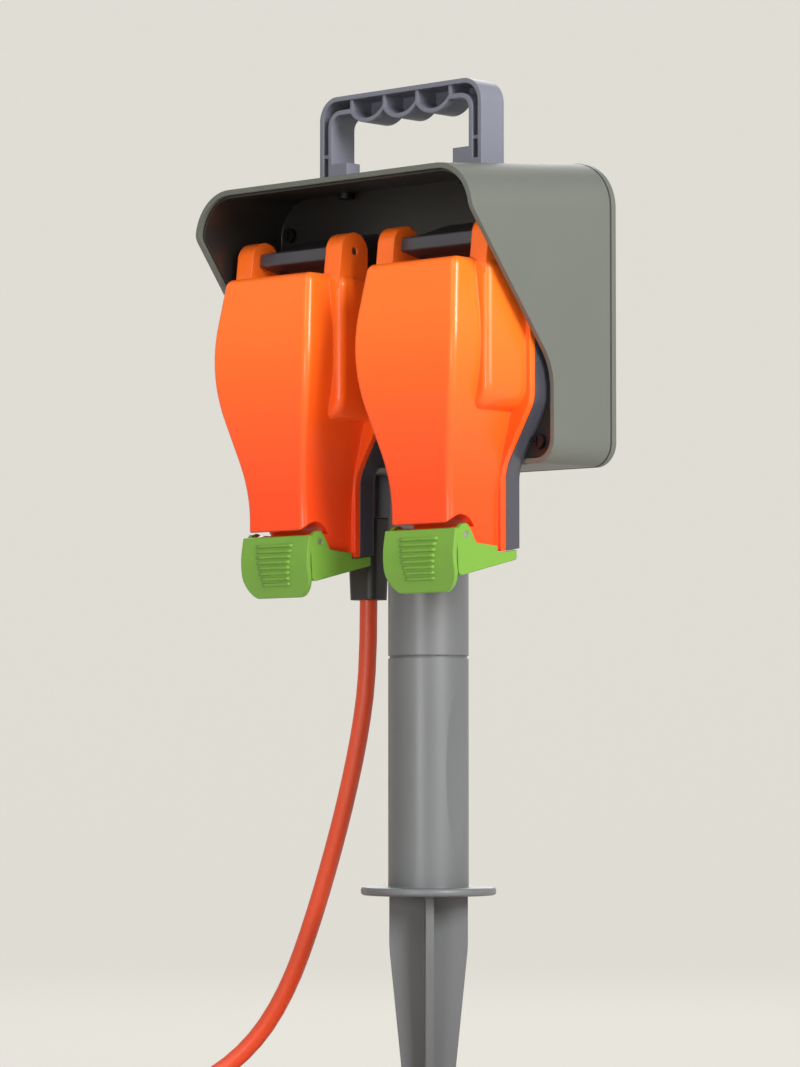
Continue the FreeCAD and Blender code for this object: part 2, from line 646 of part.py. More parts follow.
# Outlet bases, faces and contacts
LINE_Z = SOCKET_MIDDLE - LINE_DROP
EARTH_Z = SOCKET_MIDDLE + EARTH_RISE
TRAY_FLOOR = PARTING + TRAY_DEPTH
FACE_SEAT = FACE_FRONT + FACE_THICK
FACE_LEDGE = 1.5
NOTCH_RADIUS = 5.0
TONGUE_Z = HINGE_Z - TONGUE_REACH
SHUTTER_THICK = 2.2
SHUTTER_TRAVEL = 6.0
SHUTTER_HALF = 16.0
SHUTTER_TOP = LINE_Z + 12.0
SHUTTER_BOTTOM = LINE_Z - 5.0
SPRING_RADIUS = 1.6
SPRING_WIRE = 0.5
SPRING_CLOSED = 3.4
SPRING_Y = FACE_SEAT + FACE_LEDGE + SPRING_RADIUS + 0.2
SHELF_Z = SHUTTER_BOTTOM - SHUTTER_TRAVEL - SPRING_CLOSED
BAR_FRONT = BOX_REAR + 1.0
BAR_THICK = 1.0
BAR_TALL = 5.0
LEAF_GAP = PIN_THIN / 2 + 0.2
LEAF_THICK = 0.8
LEAF_FRONT = -8.0
SCREW_X = BOX_HALF + 3.0
OUTLET_SCREW_PLACES = [(x, z) for z in (RIM_TOP - 7.0, RIM_SHOULDER + 6.0) for x in (-SCREW_X, SCREW_X)]
OUTLET_SCREWS = [(middle + x, z) for _, middle in SIDES for x, z in OUTLET_SCREW_PLACES]


def rim_corners(inset):
    """Tie-shaped outline shared by an outlet's base and its lid, moved inwards by inset."""
    right = [
        (RIM_HALF - inset, RIM_TOP - inset, 7.0),
        (RIM_HALF - inset, RIM_SHOULDER - inset * 0.4, 14.0),
        (TONGUE_HALF - inset, TONGUE_SHOULDER - inset * 0.4, 18.0),
        (TONGUE_HALF - inset, TONGUE_Z - 6),
    ]
    return mirrored(right)


def swing(radius):
    """A wide bar about the lid's hinge line; what lies inside it clears the latch hooks."""
    return rod(radius, (-60, HINGE_Y, HINGE_Z), (60, HINGE_Y, HINGE_Z))


def cord_notch(radius):
    """The round way out for an appliance's cord at the tongue's lower end."""
    return rod(radius, (0, PARTING, TONGUE_Z - 8), (0, PARTING, TONGUE_Z + 8))


def square(half, y0, y1):
    """A square block about an outlet's middle between two depths."""
    return box(-half, half, y0, y1, SOCKET_MIDDLE - half, SOCKET_MIDDLE + half)


def make_socket_base():
    """Dark tray in front of the panel with its rear box, tongue and hinge shroud."""
    plate = front_slab(rim_corners(0), PARTING, PANEL_FRONT).common(swing(TONGUE_REACH))
    tray = front_slab(rim_corners(TRAY_WALL), PARTING - 1, TRAY_FLOOR).common(swing(TONGUE_REACH - TRAY_WALL))
    back = square(BOX_HALF, PANEL_FRONT - 1, BOX_REAR)
    collar = square(BOX_HALF, TRAY_FLOOR - 1, PANEL_FRONT)
    shroud = side_slab([
        (PANEL_FRONT, HINGE_Z + SHROUD_RISE),
        (HINGE_Y + 9, HINGE_Z + 5.5, 16.0),
        (HINGE_Y - 3.6, HINGE_Z + 2.6, 0.8),
        (HINGE_Y - 4.2, HINGE_Z - 2.8, 0.8),
        (HINGE_Y + 4, HINGE_Z - 4.6, 0),
        (PARTING + 0.1, RIM_TOP + 1.2, 0),
        (PARTING + 0.1, RIM_TOP - 1, 0),
        (PANEL_FRONT, RIM_TOP - 1, 0),
    ], -SHROUD_HALF, SHROUD_HALF)
    face_ledge = square(FACE_HALF, FACE_SEAT - 1, FACE_SEAT + FACE_LEDGE)
    face_ledge = face_ledge.cut(square(FACE_HALF - 3, FACE_SEAT - 2, FACE_SEAT + FACE_LEDGE + 1))
    hollow = square(BOX_HALF - BOX_WALL, FACE_SEAT, BOX_REAR + 1).cut(face_ledge)
    seat = square(FACE_HALF + SEAT_FIT, FACE_FRONT - 1, FACE_SEAT)
    base = plate.cut(tray).fuse([collar, back, shroud]).removeSplitter().cut(hollow).cut(seat)
    base = base.cut(cord_notch(NOTCH_RADIUS))
    base = base.cut(rod(HINGE_PIN / 2, (-40, HINGE_Y, HINGE_Z), (40, HINGE_Y, HINGE_Z)))
    for x, z in OUTLET_SCREW_PLACES:
        base = base.cut(rod(SMALL_SCREW + SCREW_FIT, (x, TRAY_FLOOR - 1, z), (x, PANEL_FRONT + 1, z)))
    return base


def make_socket_face():
    """Face plate with the three rectangular pin apertures."""
    face = square(FACE_HALF, FACE_FRONT, FACE_SEAT)
    face = rounded(face, 2.5, lambda e: abs(e.BoundBox.YLength - FACE_THICK) < 0.01)
    for x, z, wide, tall in pin_places():
        hole = box(x - wide / 2 - 0.3, x + wide / 2 + 0.3, FACE_FRONT - 1, FACE_SEAT + 1,
                   z - tall / 2 - 0.3, z + tall / 2 + 0.3)
        face = face.cut(hole)
    return face


def pin_places():
    """Each pin's middle and its width and height: earth, then line, then neutral."""
    return [
        (0.0, EARTH_Z, PIN_THIN, EARTH_TALL),
        (LINE_OFFSET, LINE_Z, PIN_WIDE, PIN_THIN),
        (-LINE_OFFSET, LINE_Z, PIN_WIDE, PIN_THIN),
    ]


def make_socket_back():
    """Rear moulding that carries the contacts and guides the shutter."""
    half = BOX_HALF - BOX_WALL - SEAT_FIT
    plate = square(half, BOX_REAR - 3, BOX_REAR)
    front = FACE_SEAT + FACE_LEDGE + 0.1
    pieces = [plate]
    for side in (-1, 1):
        span = sorted((side * (SHUTTER_HALF + SLIDE_FIT), side * (SHUTTER_HALF + SLIDE_FIT + 2)))
        pieces.append(box(span[0], span[1], FACE_SEAT + 0.1, BOX_REAR - 2,
                          SHUTTER_BOTTOM - 8, SHUTTER_TOP + 1))
    pieces.append(box(-SHUTTER_HALF - 2, SHUTTER_HALF + 2, front, BOX_REAR - 2, SHELF_Z - 2, SHELF_Z))
    back = fuse(*pieces)
    for x, z, wide, tall in pin_places():
        room = max(wide, tall) / 2 + 0.7
        back = back.cut(box(x - room, x + room, BOX_REAR - 4, BOX_REAR + 1, z - room, z + room))
    return back


def make_shutter():
    """Sliding shutter; its two windows meet the lower apertures when it is pushed down."""
    y0 = FACE_SEAT + 0.2
    y1 = y0 + SHUTTER_THICK
    body = box(-SHUTTER_HALF, SHUTTER_HALF, y0, y1, SHUTTER_BOTTOM, SHUTTER_TOP)
    nose = side_slab([(y0, SHUTTER_TOP - 1), (y1, SHUTTER_TOP - 1), (y1, EARTH_Z + 1)], -1.6, 1.6)
    foot = box(-2.5, 2.5, y0, SPRING_Y + SPRING_RADIUS, SHUTTER_BOTTOM, SHUTTER_BOTTOM + 2)
    shutter = body.fuse([nose, foot]).removeSplitter()
    for side in (-1, 1):
        x = side * LINE_OFFSET
        z = LINE_Z + SHUTTER_TRAVEL
        shutter = shutter.cut(box(x - 3.8, x + 3.8, y0 - 1, y1 + 1, z - 2.6, z + 2.6))
    return shutter


def make_shutter_spring():
    """Light coil spring under the shutter."""
    low = SHELF_Z
    high = SHUTTER_BOTTOM
    turns = 6
    radius = SPRING_RADIUS - SPRING_WIRE / 2
    tall = high - low - SPRING_WIRE - 0.1
    helix = Part.makeHelix(tall / turns, tall, radius)
    profile = Part.Wire(Part.makeCircle(SPRING_WIRE / 2, Vector(radius, 0, 0), Vector(0, 1, 0)))
    coil = Part.Wire(helix.Edges).makePipeShell([profile], True, True)
    coil.translate(Vector(0, SPRING_Y, low + SPRING_WIRE / 2 + 0.05))
    return coil


def leaf_pair(x, z, wide, tall, upright):
    """Two spring leaves that grip a pin, joined at the bar behind."""
    back = BAR_FRONT + BAR_THICK / 2
    leaves = []
    for side in (-1, 1):
        span = sorted((side * LEAF_GAP, side * (LEAF_GAP + LEAF_THICK)))
        if upright:
            leaves.append(box(x + span[0], x + span[1], LEAF_FRONT, back, z - tall / 2, z + tall / 2))
        else:
            leaves.append(box(x - wide / 2, x + wide / 2, LEAF_FRONT, back, z + span[0], z + span[1]))
    return leaves


NEUTRAL_STRIP = LINE_Z + 6.0
LIVE_STRIP = LINE_Z - 11.0
TERMINALS = {"live": (-22.0, LIVE_STRIP), "neutral": (-35.0, NEUTRAL_STRIP), "earth": (-47.0, EARTH_Z - 2.5)}


def bar(name, strip, contact_x, contact_z, wide, tall, upright):
    """One busbar: a strip past both outlets with a pair of leaves for each and a terminal."""
    back = BAR_FRONT + BAR_THICK
    middles = [x + contact_x for _, x in SIDES]
    terminal = TERMINALS[name][0]
    ends = middles + [terminal]
    pieces = [box(min(ends) - 4, max(ends) + 4, BAR_FRONT, back, strip, strip + BAR_TALL)]
    for x in middles:
        low = min(strip, contact_z - tall / 2 - 1)
        high = max(strip + BAR_TALL, contact_z + tall / 2 + 1)
        pieces.append(box(x - wide / 2, x + wide / 2, BAR_FRONT, back, low, high))
        pieces += leaf_pair(x, contact_z, wide, tall, upright)
    whole = fuse(*pieces)
    return whole.cut(rod(SMALL_SCREW, (terminal, BAR_FRONT - 1, strip + BAR_TALL / 2),
                         (terminal, back + 1, strip + BAR_TALL / 2)))


def make_bars():
    """The three busbars by name."""
    return {
        "live": bar("live", LIVE_STRIP, LINE_OFFSET, LINE_Z, PIN_WIDE, PIN_THIN, False),
        "neutral": bar("neutral", NEUTRAL_STRIP, -LINE_OFFSET, LINE_Z, PIN_WIDE, PIN_THIN, False),
        "earth": bar("earth", EARTH_Z - 2.5, 0.0, EARTH_Z, PIN_WIDE, EARTH_TALL, True),
    }


def make_terminal_screws():
    """One small screw at each busbar's terminal."""
    back = BAR_FRONT + BAR_THICK
    pieces = []
    for x, strip in TERMINALS.values():
        z = strip + BAR_TALL / 2
        pieces.append(screw((x, back, z), (x, BAR_FRONT - 0.6, z), SMALL_SCREW, SMALL_HEAD, SMALL_HEAD_THICK))
    return Part.makeCompound(pieces)


def make_outlet_screws():
    """Four small screws through each base into the front panel."""
    pieces = [screw((x, TRAY_FLOOR, z), (x, PANEL_FRONT + PANEL_THICK + 2, z), SMALL_SCREW, SMALL_HEAD,
                    SMALL_HEAD_THICK) for x, z in OUTLET_SCREWS]
    return Part.makeCompound(pieces)


def make_hinge_pin():
    """Steel pin through the shroud and both ears."""
    reach = EAR_OUTER - 0.4
    return rod(HINGE_PIN / 2, (-reach, HINGE_Y, HINGE_Z), (reach, HINGE_Y, HINGE_Z))


# Lid and latch
LID_BACK = PARTING - SLIDE_FIT
RECESS_BACK = LATCH_Y + 6.5
LUG_RADIUS = 3.6
LUG_HALF = BAND_NECK_HALF
LUG_THICK = 4.2
SEAL_OUT = 1.2
SEAL_IN = 3.2
GROOVE_DEPTH = 1.5


def band_solid(inset):
    """The lid's bowed front band, from ears to tongue, moved inwards by inset."""
    side = [
        (LID_BACK + inset * 2, BAND_TOP - inset),
        (BAND_TOP_Y + inset, BAND_TOP - inset, 4.0),
        (BAND_MID_Y + inset, BAND_MID_Z, 110.0),
        (BAND_NECK_Y + inset, NECK_Z - 4, 110.0),
        (BAND_NECK_Y + inset, TONGUE_Z - 8),
        (LID_BACK + inset * 2, TONGUE_Z - 8),
    ]
    front = [
        (BAND_TOP_HALF - inset, BAND_TOP + 2),
        (BAND_MID_HALF - inset, BAND_MID_Z, 100.0),
        (BAND_NECK_HALF - inset, NECK_Z, 100.0),
        (BAND_NECK_HALF - inset, TONGUE_Z - 9),
    ]
    block = side_slab(side, -RIM_HALF, RIM_HALF)
    block = block.common(front_slab(mirrored(front), BAND_MID_Y - 10, LID_BACK + 5))
    if inset:
        return block

    def front_edge(edge):
        span = edge.BoundBox
        aside = abs(span.XMin + span.XMax) > BAND_NECK_HALF and span.XLength < BAND_NECK_HALF
        return aside and span.YMin < LID_BACK - 0.1 and span.ZMax > TONGUE_Z - 7

    return rounded(block, BAND_ROUND, front_edge)


def cheek_solid(inset):
    """The wider part of the lid behind the band, moved inwards by inset."""
    right = [
        (CHEEK_HALF - inset, RIM_TOP - 1 - inset, 6.0),
        (CHEEK_HALF - inset, CHEEK_BOTTOM + inset, 10.0),
    ]
    block = front_slab(mirrored(right), CHEEK_FRONT + inset, LID_BACK + inset * 2)
    if inset:
        return block
    return rounded(block, CHEEK_ROUND, lambda e: abs(e.BoundBox.YMax - CHEEK_FRONT) < 0.01)


def latch_recess(grow):
    """The scoop in the lid's lower front that the latch turns in."""
    scoop = rod(LATCH_ROOM + grow, (-60, LATCH_Y, LATCH_Z), (60, LATCH_Y, LATCH_Z))
    below = box(-60, 60, BAND_MID_Y - 10, RECESS_BACK + grow, TONGUE_Z - 20, LATCH_Z + grow)
    return scoop.fuse(below)


def latch_lugs(grow):
    """The two lugs on the lid's tongue that hold the latch pin."""
    pieces = []
    for side in (-1, 1):
        span = sorted((side * LUG_HALF, side * (LUG_HALF - LUG_THICK - grow)))
        pieces.append(rod(LUG_RADIUS + grow, (span[0], LATCH_Y, LATCH_Z), (span[1], LATCH_Y, LATCH_Z)))
        pieces.append(box(span[0], span[1], LATCH_Y, RECESS_BACK + 2, LATCH_Z - LUG_RADIUS - grow,
                          LATCH_Z + LUG_RADIUS + grow))
    return pieces


def seal_ring(out_grow, in_grow, y0, y1):
    """A ring that follows the lid's rim between two depths."""
    outer = front_slab(rim_corners(SEAL_OUT + out_grow), y0, y1)
    inner = front_slab(rim_corners(SEAL_IN - in_grow), y0, y1)
    inner = inner.common(swing(TONGUE_REACH - SEAL_IN + in_grow))
    return outer.common(swing(TONGUE_REACH - SEAL_OUT - out_grow)).cut(inner)


def make_lid():
    """Hinged lid: bowed band, side cheeks, rim, ears and tongue, open at the back."""
    rim = front_slab(rim_corners(0), LID_BACK - RIM_THICK, LID_BACK)
    ears = []
    for side in (-1, 1):
        span = sorted((side * EAR_INNER, side * EAR_OUTER))
        ears.append(rod(EAR_RADIUS, (span[0], HINGE_Y, HINGE_Z), (span[1], HINGE_Y, HINGE_Z)))
        ears.append(side_slab([(HINGE_Y - EAR_RADIUS, HINGE_Z), (CHEEK_FRONT, HINGE_Z - 16),
                               (HINGE_Y + EAR_RADIUS, HINGE_Z - 16), (HINGE_Y + EAR_RADIUS, HINGE_Z)],
                              span[0], span[1]))
    outer = cheek_solid(0).fuse([band_solid(0), rim] + ears).removeSplitter()
    outer = outer.common(swing(TONGUE_REACH))
    hollow = cheek_solid(LID_WALL).fuse(band_solid(LID_WALL))
    hollow = hollow.common(swing(TONGUE_REACH - LID_WALL))
    hollow = hollow.cut(latch_recess(LID_WALL)).cut(Part.makeCompound(latch_lugs(0.0)))
    lugs = [piece.common(swing(TONGUE_REACH)) for piece in latch_lugs(0)]
    lid = outer.cut(latch_recess(0)).fuse(lugs).removeSplitter().cut(hollow)
    lid = lid.cut(seal_ring(-SCREW_FIT, -SCREW_FIT, LID_BACK - GROOVE_DEPTH, LID_BACK + 1))
    lid = lid.cut(cord_notch(NOTCH_RADIUS))
    lid = lid.cut(rod(HINGE_PIN / 2 + RUNNING_FIT, (-40, HINGE_Y, HINGE_Z), (40, HINGE_Y, HINGE_Z)))
    return lid.cut(rod(LATCH_PIN / 2, (-40, LATCH_Y, LATCH_Z), (40, LATCH_Y, LATCH_Z)))


def make_lid_seal():
    """Rubber ring in the lid's rim that meets the base."""
    ring_solid = seal_ring(0, 0, LID_BACK - GROOVE_DEPTH, PARTING - 0.05)
    return ring_solid.cut(cord_notch(NOTCH_RADIUS))


def make_latch():
    """Green latch: bowed finger plate, two side cheeks and the hooks under the tongue."""
    plate = side_slab([
        (LATCH_FRONT + 1.6, LATCH_TOP, 0.8),
        (LATCH_FRONT - 0.6, (LATCH_TOP + LATCH_BOTTOM) / 2 + 1, 30.0),
        (LATCH_FRONT + 3.4, LATCH_BOTTOM, 0.8),
        (LATCH_FRONT + 5.4, LATCH_BOTTOM + 0.6, 0.8),
        (LATCH_FRONT - 0.6 + LATCH_WALL, (LATCH_TOP + LATCH_BOTTOM) / 2 + 1, 30.0),
        (LATCH_FRONT + 1.6 + LATCH_WALL, LATCH_TOP - 1.0, 0.8),
    ], -LATCH_HALF, LATCH_HALF)
    tab = [(LATCH_HALF, LATCH_TOP + 2, 3.0), (LATCH_HALF, LATCH_BOTTOM - 0.5, 11.0)]
    plate = plate.common(front_slab(mirrored(tab), LATCH_FRONT - 10, LATCH_FRONT + 10))
    cheeks = []
    for side in (-1, 1):
        span = sorted((side * (BAND_NECK_HALF + SLIDE_FIT), side * LATCH_HALF))
        cheeks.append(side_slab([
            (LATCH_FRONT + 2.4, LATCH_Z + 1.5, 0.6),
            (LATCH_Y, LATCH_Z + 6.4, 3.4),
            (LATCH_Y + 6.0, LATCH_Z - 3.0, 0),
            (HOOK_TIP - 4, TONGUE_Z + 2.0, 0),
            (HOOK_TIP, TONGUE_Z + 2.0, 0),
            (HOOK_TIP, TONGUE_Z - HOOK_THICK, 1.0),
            (LATCH_FRONT + 3.6, LATCH_BOTTOM + 6.5, 2.0),
        ], span[0], span[1]))
    latch = plate.fuse(cheeks).removeSplitter()
    path = swing(TONGUE_REACH + SLIDE_FIT).common(box(-60, 60, LATCH_Y + 19, 20, 0, 400))
    latch = latch.cut(path)
    return latch.cut(rod(LATCH_PIN / 2 + RUNNING_FIT, (-40, LATCH_Y, LATCH_Z), (40, LATCH_Y, LATCH_Z)))


def make_latch_pin():
    """Pin through the lid's lugs and the latch's cheeks."""
    return rod(LATCH_PIN / 2, (-LATCH_HALF + 0.2, LATCH_Y, LATCH_Z), (LATCH_HALF - 0.2, LATCH_Y, LATCH_Z))


# Supply cord: gland, strain relief, clamp and cores
CORD_RADIUS = CORD_DIAMETER / 2
CORD_BORE = CORD_RADIUS + 0.1
GLAND_WIDE = 20.0
GLAND_DEEP = 15.0
RELIEF_WIDE = 17.0
RELIEF_DEEP = 14.0
RELIEF_END_WIDE = 14.0
RELIEF_END_DEEP = 12.0
CLAMP_HALF = 13.5
CLAMP_SCREW = 9.3
CLAMP_LOW = HOUSING_BOTTOM + HOUSING_WALL
CLAMP_TALL = 6.0
CORD_END = CLAMP_LOW + CLAMP_TALL + 2.0


def cord_hole(z0, z1, radius):
    """A bore on the cord's line where it enters the housing."""
    return rod(radius, (CORD_X, 0, z0), (CORD_X, 0, z1))


def rounded_plan(wide, deep, corner, z):
    """A rounded rectangle about the cord's line, seen from above."""
    half = wide / 2
    right = [(half, deep / 2, corner), (half, -deep / 2, corner)]
    wire = outline(mirrored(right), at_top)
    wire.translate(Vector(CORD_X, 0, z))
    return wire


def make_cord_gland():
    """Square-shouldered boss under the housing with a neck through its floor."""
    face = Part.Face(rounded_plan(GLAND_WIDE, GLAND_DEEP, 4.0, GLAND_BOTTOM))
    body = face.extrude(Vector(0, 0, HOUSING_BOTTOM - GLAND_BOTTOM))
    neck = cord_hole(HOUSING_BOTTOM - 1, CLAMP_LOW, GLAND_HOLE - SEAT_FIT)
    return body.fuse(neck).removeSplitter().cut(cord_hole(0, 400, CORD_BORE))


def make_strain_relief():
    """Tapered black sleeve that the cord leaves by."""
    top = rounded_plan(RELIEF_WIDE, RELIEF_DEEP, 4.0, GLAND_BOTTOM)
    low = rounded_plan(RELIEF_END_WIDE, RELIEF_END_DEEP, 3.5, RELIEF_BOTTOM)
    sleeve = Part.makeLoft([low, top], True, True)
    return sleeve.cut(cord_hole(0, 400, CORD_BORE))


def clamp_screw_places():
    return [(CORD_X - CLAMP_SCREW, 0.0), (CORD_X + CLAMP_SCREW, 0.0)]


def make_cord_clamp():
    """Clamp that grips the cord just inside the housing."""
    clamp = box(CORD_X - CLAMP_HALF, CORD_X + CLAMP_HALF, -5, 5, CLAMP_LOW, CLAMP_LOW + CLAMP_TALL)
    clamp = clamp.cut(cord_hole(0, 400, CORD_RADIUS))
    for x, y in clamp_screw_places():
        top = (x, y, CLAMP_LOW + CLAMP_TALL + 1)
        clamp = clamp.cut(rod(SMALL_SCREW + SCREW_FIT, (x, y, CLAMP_LOW - 1), top))
    return clamp


def make_cord_clamp_screws():
    """Two screws through the clamp into the housing's floor."""
    top = CLAMP_LOW + CLAMP_TALL
    pieces = [screw((x, y, top), (x, y, HOUSING_BOTTOM + 0.4), SMALL_SCREW, SMALL_HEAD, SMALL_HEAD_THICK)
              for x, y in clamp_screw_places()]
    return Part.makeCompound(pieces)


def corner_arc(before, corner, after, leg):
    """The arc that rounds a corner between two directions, its two ends and its radius."""
    back = before - corner
    onward = after - corner
    half = back.getAngle(onward) / 2
    back.normalize()
    onward.normalize()
    inward = back + onward
    inward.normalize()
    radius = leg * math.tan(half)
    start = corner + back * leg
    end = corner + onward * leg
    middle = corner + inward * (radius / math.sin(half) - radius)
    return start, end, Part.Arc(start, middle, end).toShape(), radius


def route(points):
    """Straight runs joined by arcs of 0.45 of the shorter run; the wire and its radii."""
    spots = [Vector(*p) for p in points]
    edges = []
    radii = []
    last = spots[0]
    for before, corner, after in zip(spots, spots[1:], spots[2:]):
        leg = 0.45 * min((corner - before).Length, (after - corner).Length)
        start, end, arc, radius = corner_arc(before, corner, after, leg)
        edges.append(Part.LineSegment(last, start).toShape())
        edges.append(arc)
        radii.append(radius)
        last = end
    edges.append(Part.LineSegment(last, spots[-1]).toShape())
    return Part.Wire(edges), radii


def tube(wire, radius, heading):
    """A round solid along a wire that starts in the direction heading."""
    start = wire.Edges[0].valueAt(wire.Edges[0].FirstParameter)
    profile = Part.Wire(Part.makeCircle(radius, start, Vector(*heading)))
    return wire.makePipeShell([profile], True, False)


COIL_PITCH = CORD_DIAMETER + COIL_GAP
TURN_RISE = CORD_DIAMETER + TURN_GAP
COIL_INNER = COIL_OUTER - (COLUMNS - 1) * COIL_PITCH
COIL_LOW = FLOOR + TIE_THICK + CORD_RADIUS
COIL_TOP = COIL_LOW + HALF_TURNS * TURN_RISE / 2
PLUG_AXIS = 8.0
PLUG_LEVEL = FLOOR + PLUG_AXIS


def in_coil(u, v, z):
    """A point from the coil's own turned frame."""
    turn = math.radians(COIL_TURN)
    return (COIL_X + u * math.cos(turn) - v * math.sin(turn),
            COIL_Y + u * math.sin(turn) + v * math.cos(turn), z)


DROP_POINTS = [
    (CORD_X, 0, RELIEF_BOTTOM),
    (CORD_X, 0, RELIEF_BOTTOM - 28),
    (CORD_X - 4, -0.5, RELIEF_BOTTOM - 55),
    (CORD_X - 11.5, -1, RELIEF_BOTTOM - 83),
    (CORD_X - 21, -1.5, 14),
    (CORD_X - 31.5, -2.5, -14),
    (CORD_X - 42, -5, -40),
    (CORD_X - 54.5, -10, -62),
    (CORD_X - 68, -20, -78),
    (CORD_X - 78.5, -36, -87),
    (CORD_X - 82, -62, -91.5),
    in_coil(-COIL_OUTER, 20, COIL_TOP),
    in_coil(-COIL_OUTER, 0, COIL_TOP),
]

TAIL_POINTS = [
    in_coil(COIL_INNER, 0, COIL_LOW),
    in_coil(COIL_INNER, 21, COIL_LOW),
    in_coil(75, 42, COIL_LOW),
    in_coil(53, 57, COIL_LOW),
    in_coil(27, 65, COIL_LOW),
    in_coil(-2, 66, COIL_LOW),
    in_coil(-31, 58, COIL_LOW),
    in_coil(-56, 41, COIL_LOW),
    in_coil(-75, 10, COIL_LOW),
    in_coil(-78.5, -14, COIL_LOW),
    in_coil(-72, -33, COIL_LOW + 0.7),
    in_coil(-57, -46.5, PLUG_LEVEL - 1.2),
    in_coil(-37.3, -51.2, PLUG_LEVEL),
    in_coil(-17.7, -45.9, PLUG_LEVEL),
]


def coil_spine():
    """Half-turn arcs wound in columns, down, up and down again, each column within the last."""
    edges = []
    reach = COIL_OUTER
    side = -1
    z = COIL_TOP
    across = Vector(*in_coil(0, 1, 0)) - Vector(*in_coil(0, 0, 0))
    steps = []
    for column in range(COLUMNS):
        lift = TURN_RISE / 2 if column % 2 else -TURN_RISE / 2
        if column:
            steps.append((-COIL_PITCH, 0))
        steps += [(0, lift)] * HALF_TURNS
    for change, lift in steps:
        start = Vector(*in_coil(side * reach, 0, z))
        end = Vector(*in_coil(-side * (reach + change), 0, z + lift))
        radius = (end - start).Length / 2
        edges.append(Part.Arc(start, (start + end) * 0.5 + across * (side * radius), end).toShape())
        reach += change
        z += lift
        side = -side
    return Part.Wire(edges)


def coil_gap(spine):
    """The least gap between the coil's turns, from points along it."""
    points = []
    travelled = 0.0
    for edge in spine.Edges:
        count = 24
        for i in range(count):
            first, last = edge.FirstParameter, edge.LastParameter
            spot = edge.valueAt(first + (last - first) * i / count)
            points.append((travelled + edge.Length * i / count, spot))
        travelled += edge.Length
    cells = {}
    size = 14.0
    for way, p in points:
        key = (int(p.x // size), int(p.y // size), int(p.z // size))
        cells.setdefault(key, []).append((way, p))
    least = 1e9
    for (i, j, k), own in cells.items():
        near = [q for a in (-1, 0, 1) for b in (-1, 0, 1) for c in (-1, 0, 1)
                for q in cells.get((i + a, j + b, k + c), [])]
        for way, p in own:
            for other, q in near:
                if abs(way - other) > 60:
                    least = min(least, (p - q).Length)
    return least - CORD_DIAMETER


def make_coil_ties():
    """Two soft straps round the coil's bundle."""
    inner = COIL_INNER - CORD_RADIUS - 0.6
    outer = COIL_OUTER + CORD_RADIUS + 0.6
    top = COIL_TOP + CORD_RADIUS + 0.2
    pieces = []
    for angle in (COIL_TURN + 90, COIL_TURN + 270):
        band = box(inner - TIE_THICK, outer + TIE_THICK, -TIE_WIDE / 2, TIE_WIDE / 2, FLOOR, top + TIE_THICK)
        band = rounded(band, 3.0, lambda e: abs(e.BoundBox.YLength - TIE_WIDE) < 0.01)
        gap = box(inner, outer, -TIE_WIDE, TIE_WIDE, FLOOR + TIE_THICK, top)
        gap = rounded(gap, 2.2, lambda e: abs(e.BoundBox.YLength - 2 * TIE_WIDE) < 0.01)
        band = band.cut(gap)
        band.Placement = Placement(Vector(COIL_X, COIL_Y, 0), Rotation(Vector(0, 0, 1), angle))
        pieces.append(band)
    return Part.makeCompound(pieces)


# Plug on the cord's far end, drawn with its back on the floor and the cord leaving along +Y
PLUG_THICK = 19.0
PLUG_HALF = 25.0
PLUG_LONG = 50.0
PLUG_NECK = 12.0
PLUG_RELIEF = 28.0
PIN_DEEP = 6.0
EARTH_LONG = 22.7
LINE_LONG = 17.7
PIN_ROW = -14.0
FUSE_RADIUS = 3.15
FUSE_LONG = 25.4
CARRIER_HALF = 4.2
CARRIER_Y = PIN_ROW - 2.5


def plug_place(shape):
    """Moves a plug piece from its own frame to the tail's end."""
    before, end = Vector(*TAIL_POINTS[-2]), Vector(*TAIL_POINTS[-1])
    way = before - end
    way.normalize()
    turn = math.degrees(math.atan2(-way.x, way.y))
    seat = end - way * PLUG_RELIEF
    shape.Placement = Placement(Vector(seat.x, seat.y, FLOOR), Rotation(Vector(0, 0, 1), turn))
    return shape


def plug_pin(x, y, wide, deep, long):
    """A pin standing in the plug's face, its tip chamfered."""
    pin = box(x - wide / 2, x + wide / 2, y - deep / 2, y + deep / 2,
              PLUG_THICK - PIN_DEEP, PLUG_THICK + long)
    tip = [e for e in pin.Edges if abs(e.BoundBox.ZMin - PLUG_THICK - long) < 0.01]
    return pin.makeChamfer(1.0, tip)


def carrier_box(grow, low):
    """The fuse carrier's block in the plug's face, larger by grow."""
    half = FUSE_LONG / 2 + 1.2 + grow
    wide = CARRIER_HALF + grow
    return box(-wide, wide, CARRIER_Y - half, CARRIER_Y + half, low, PLUG_THICK + grow)


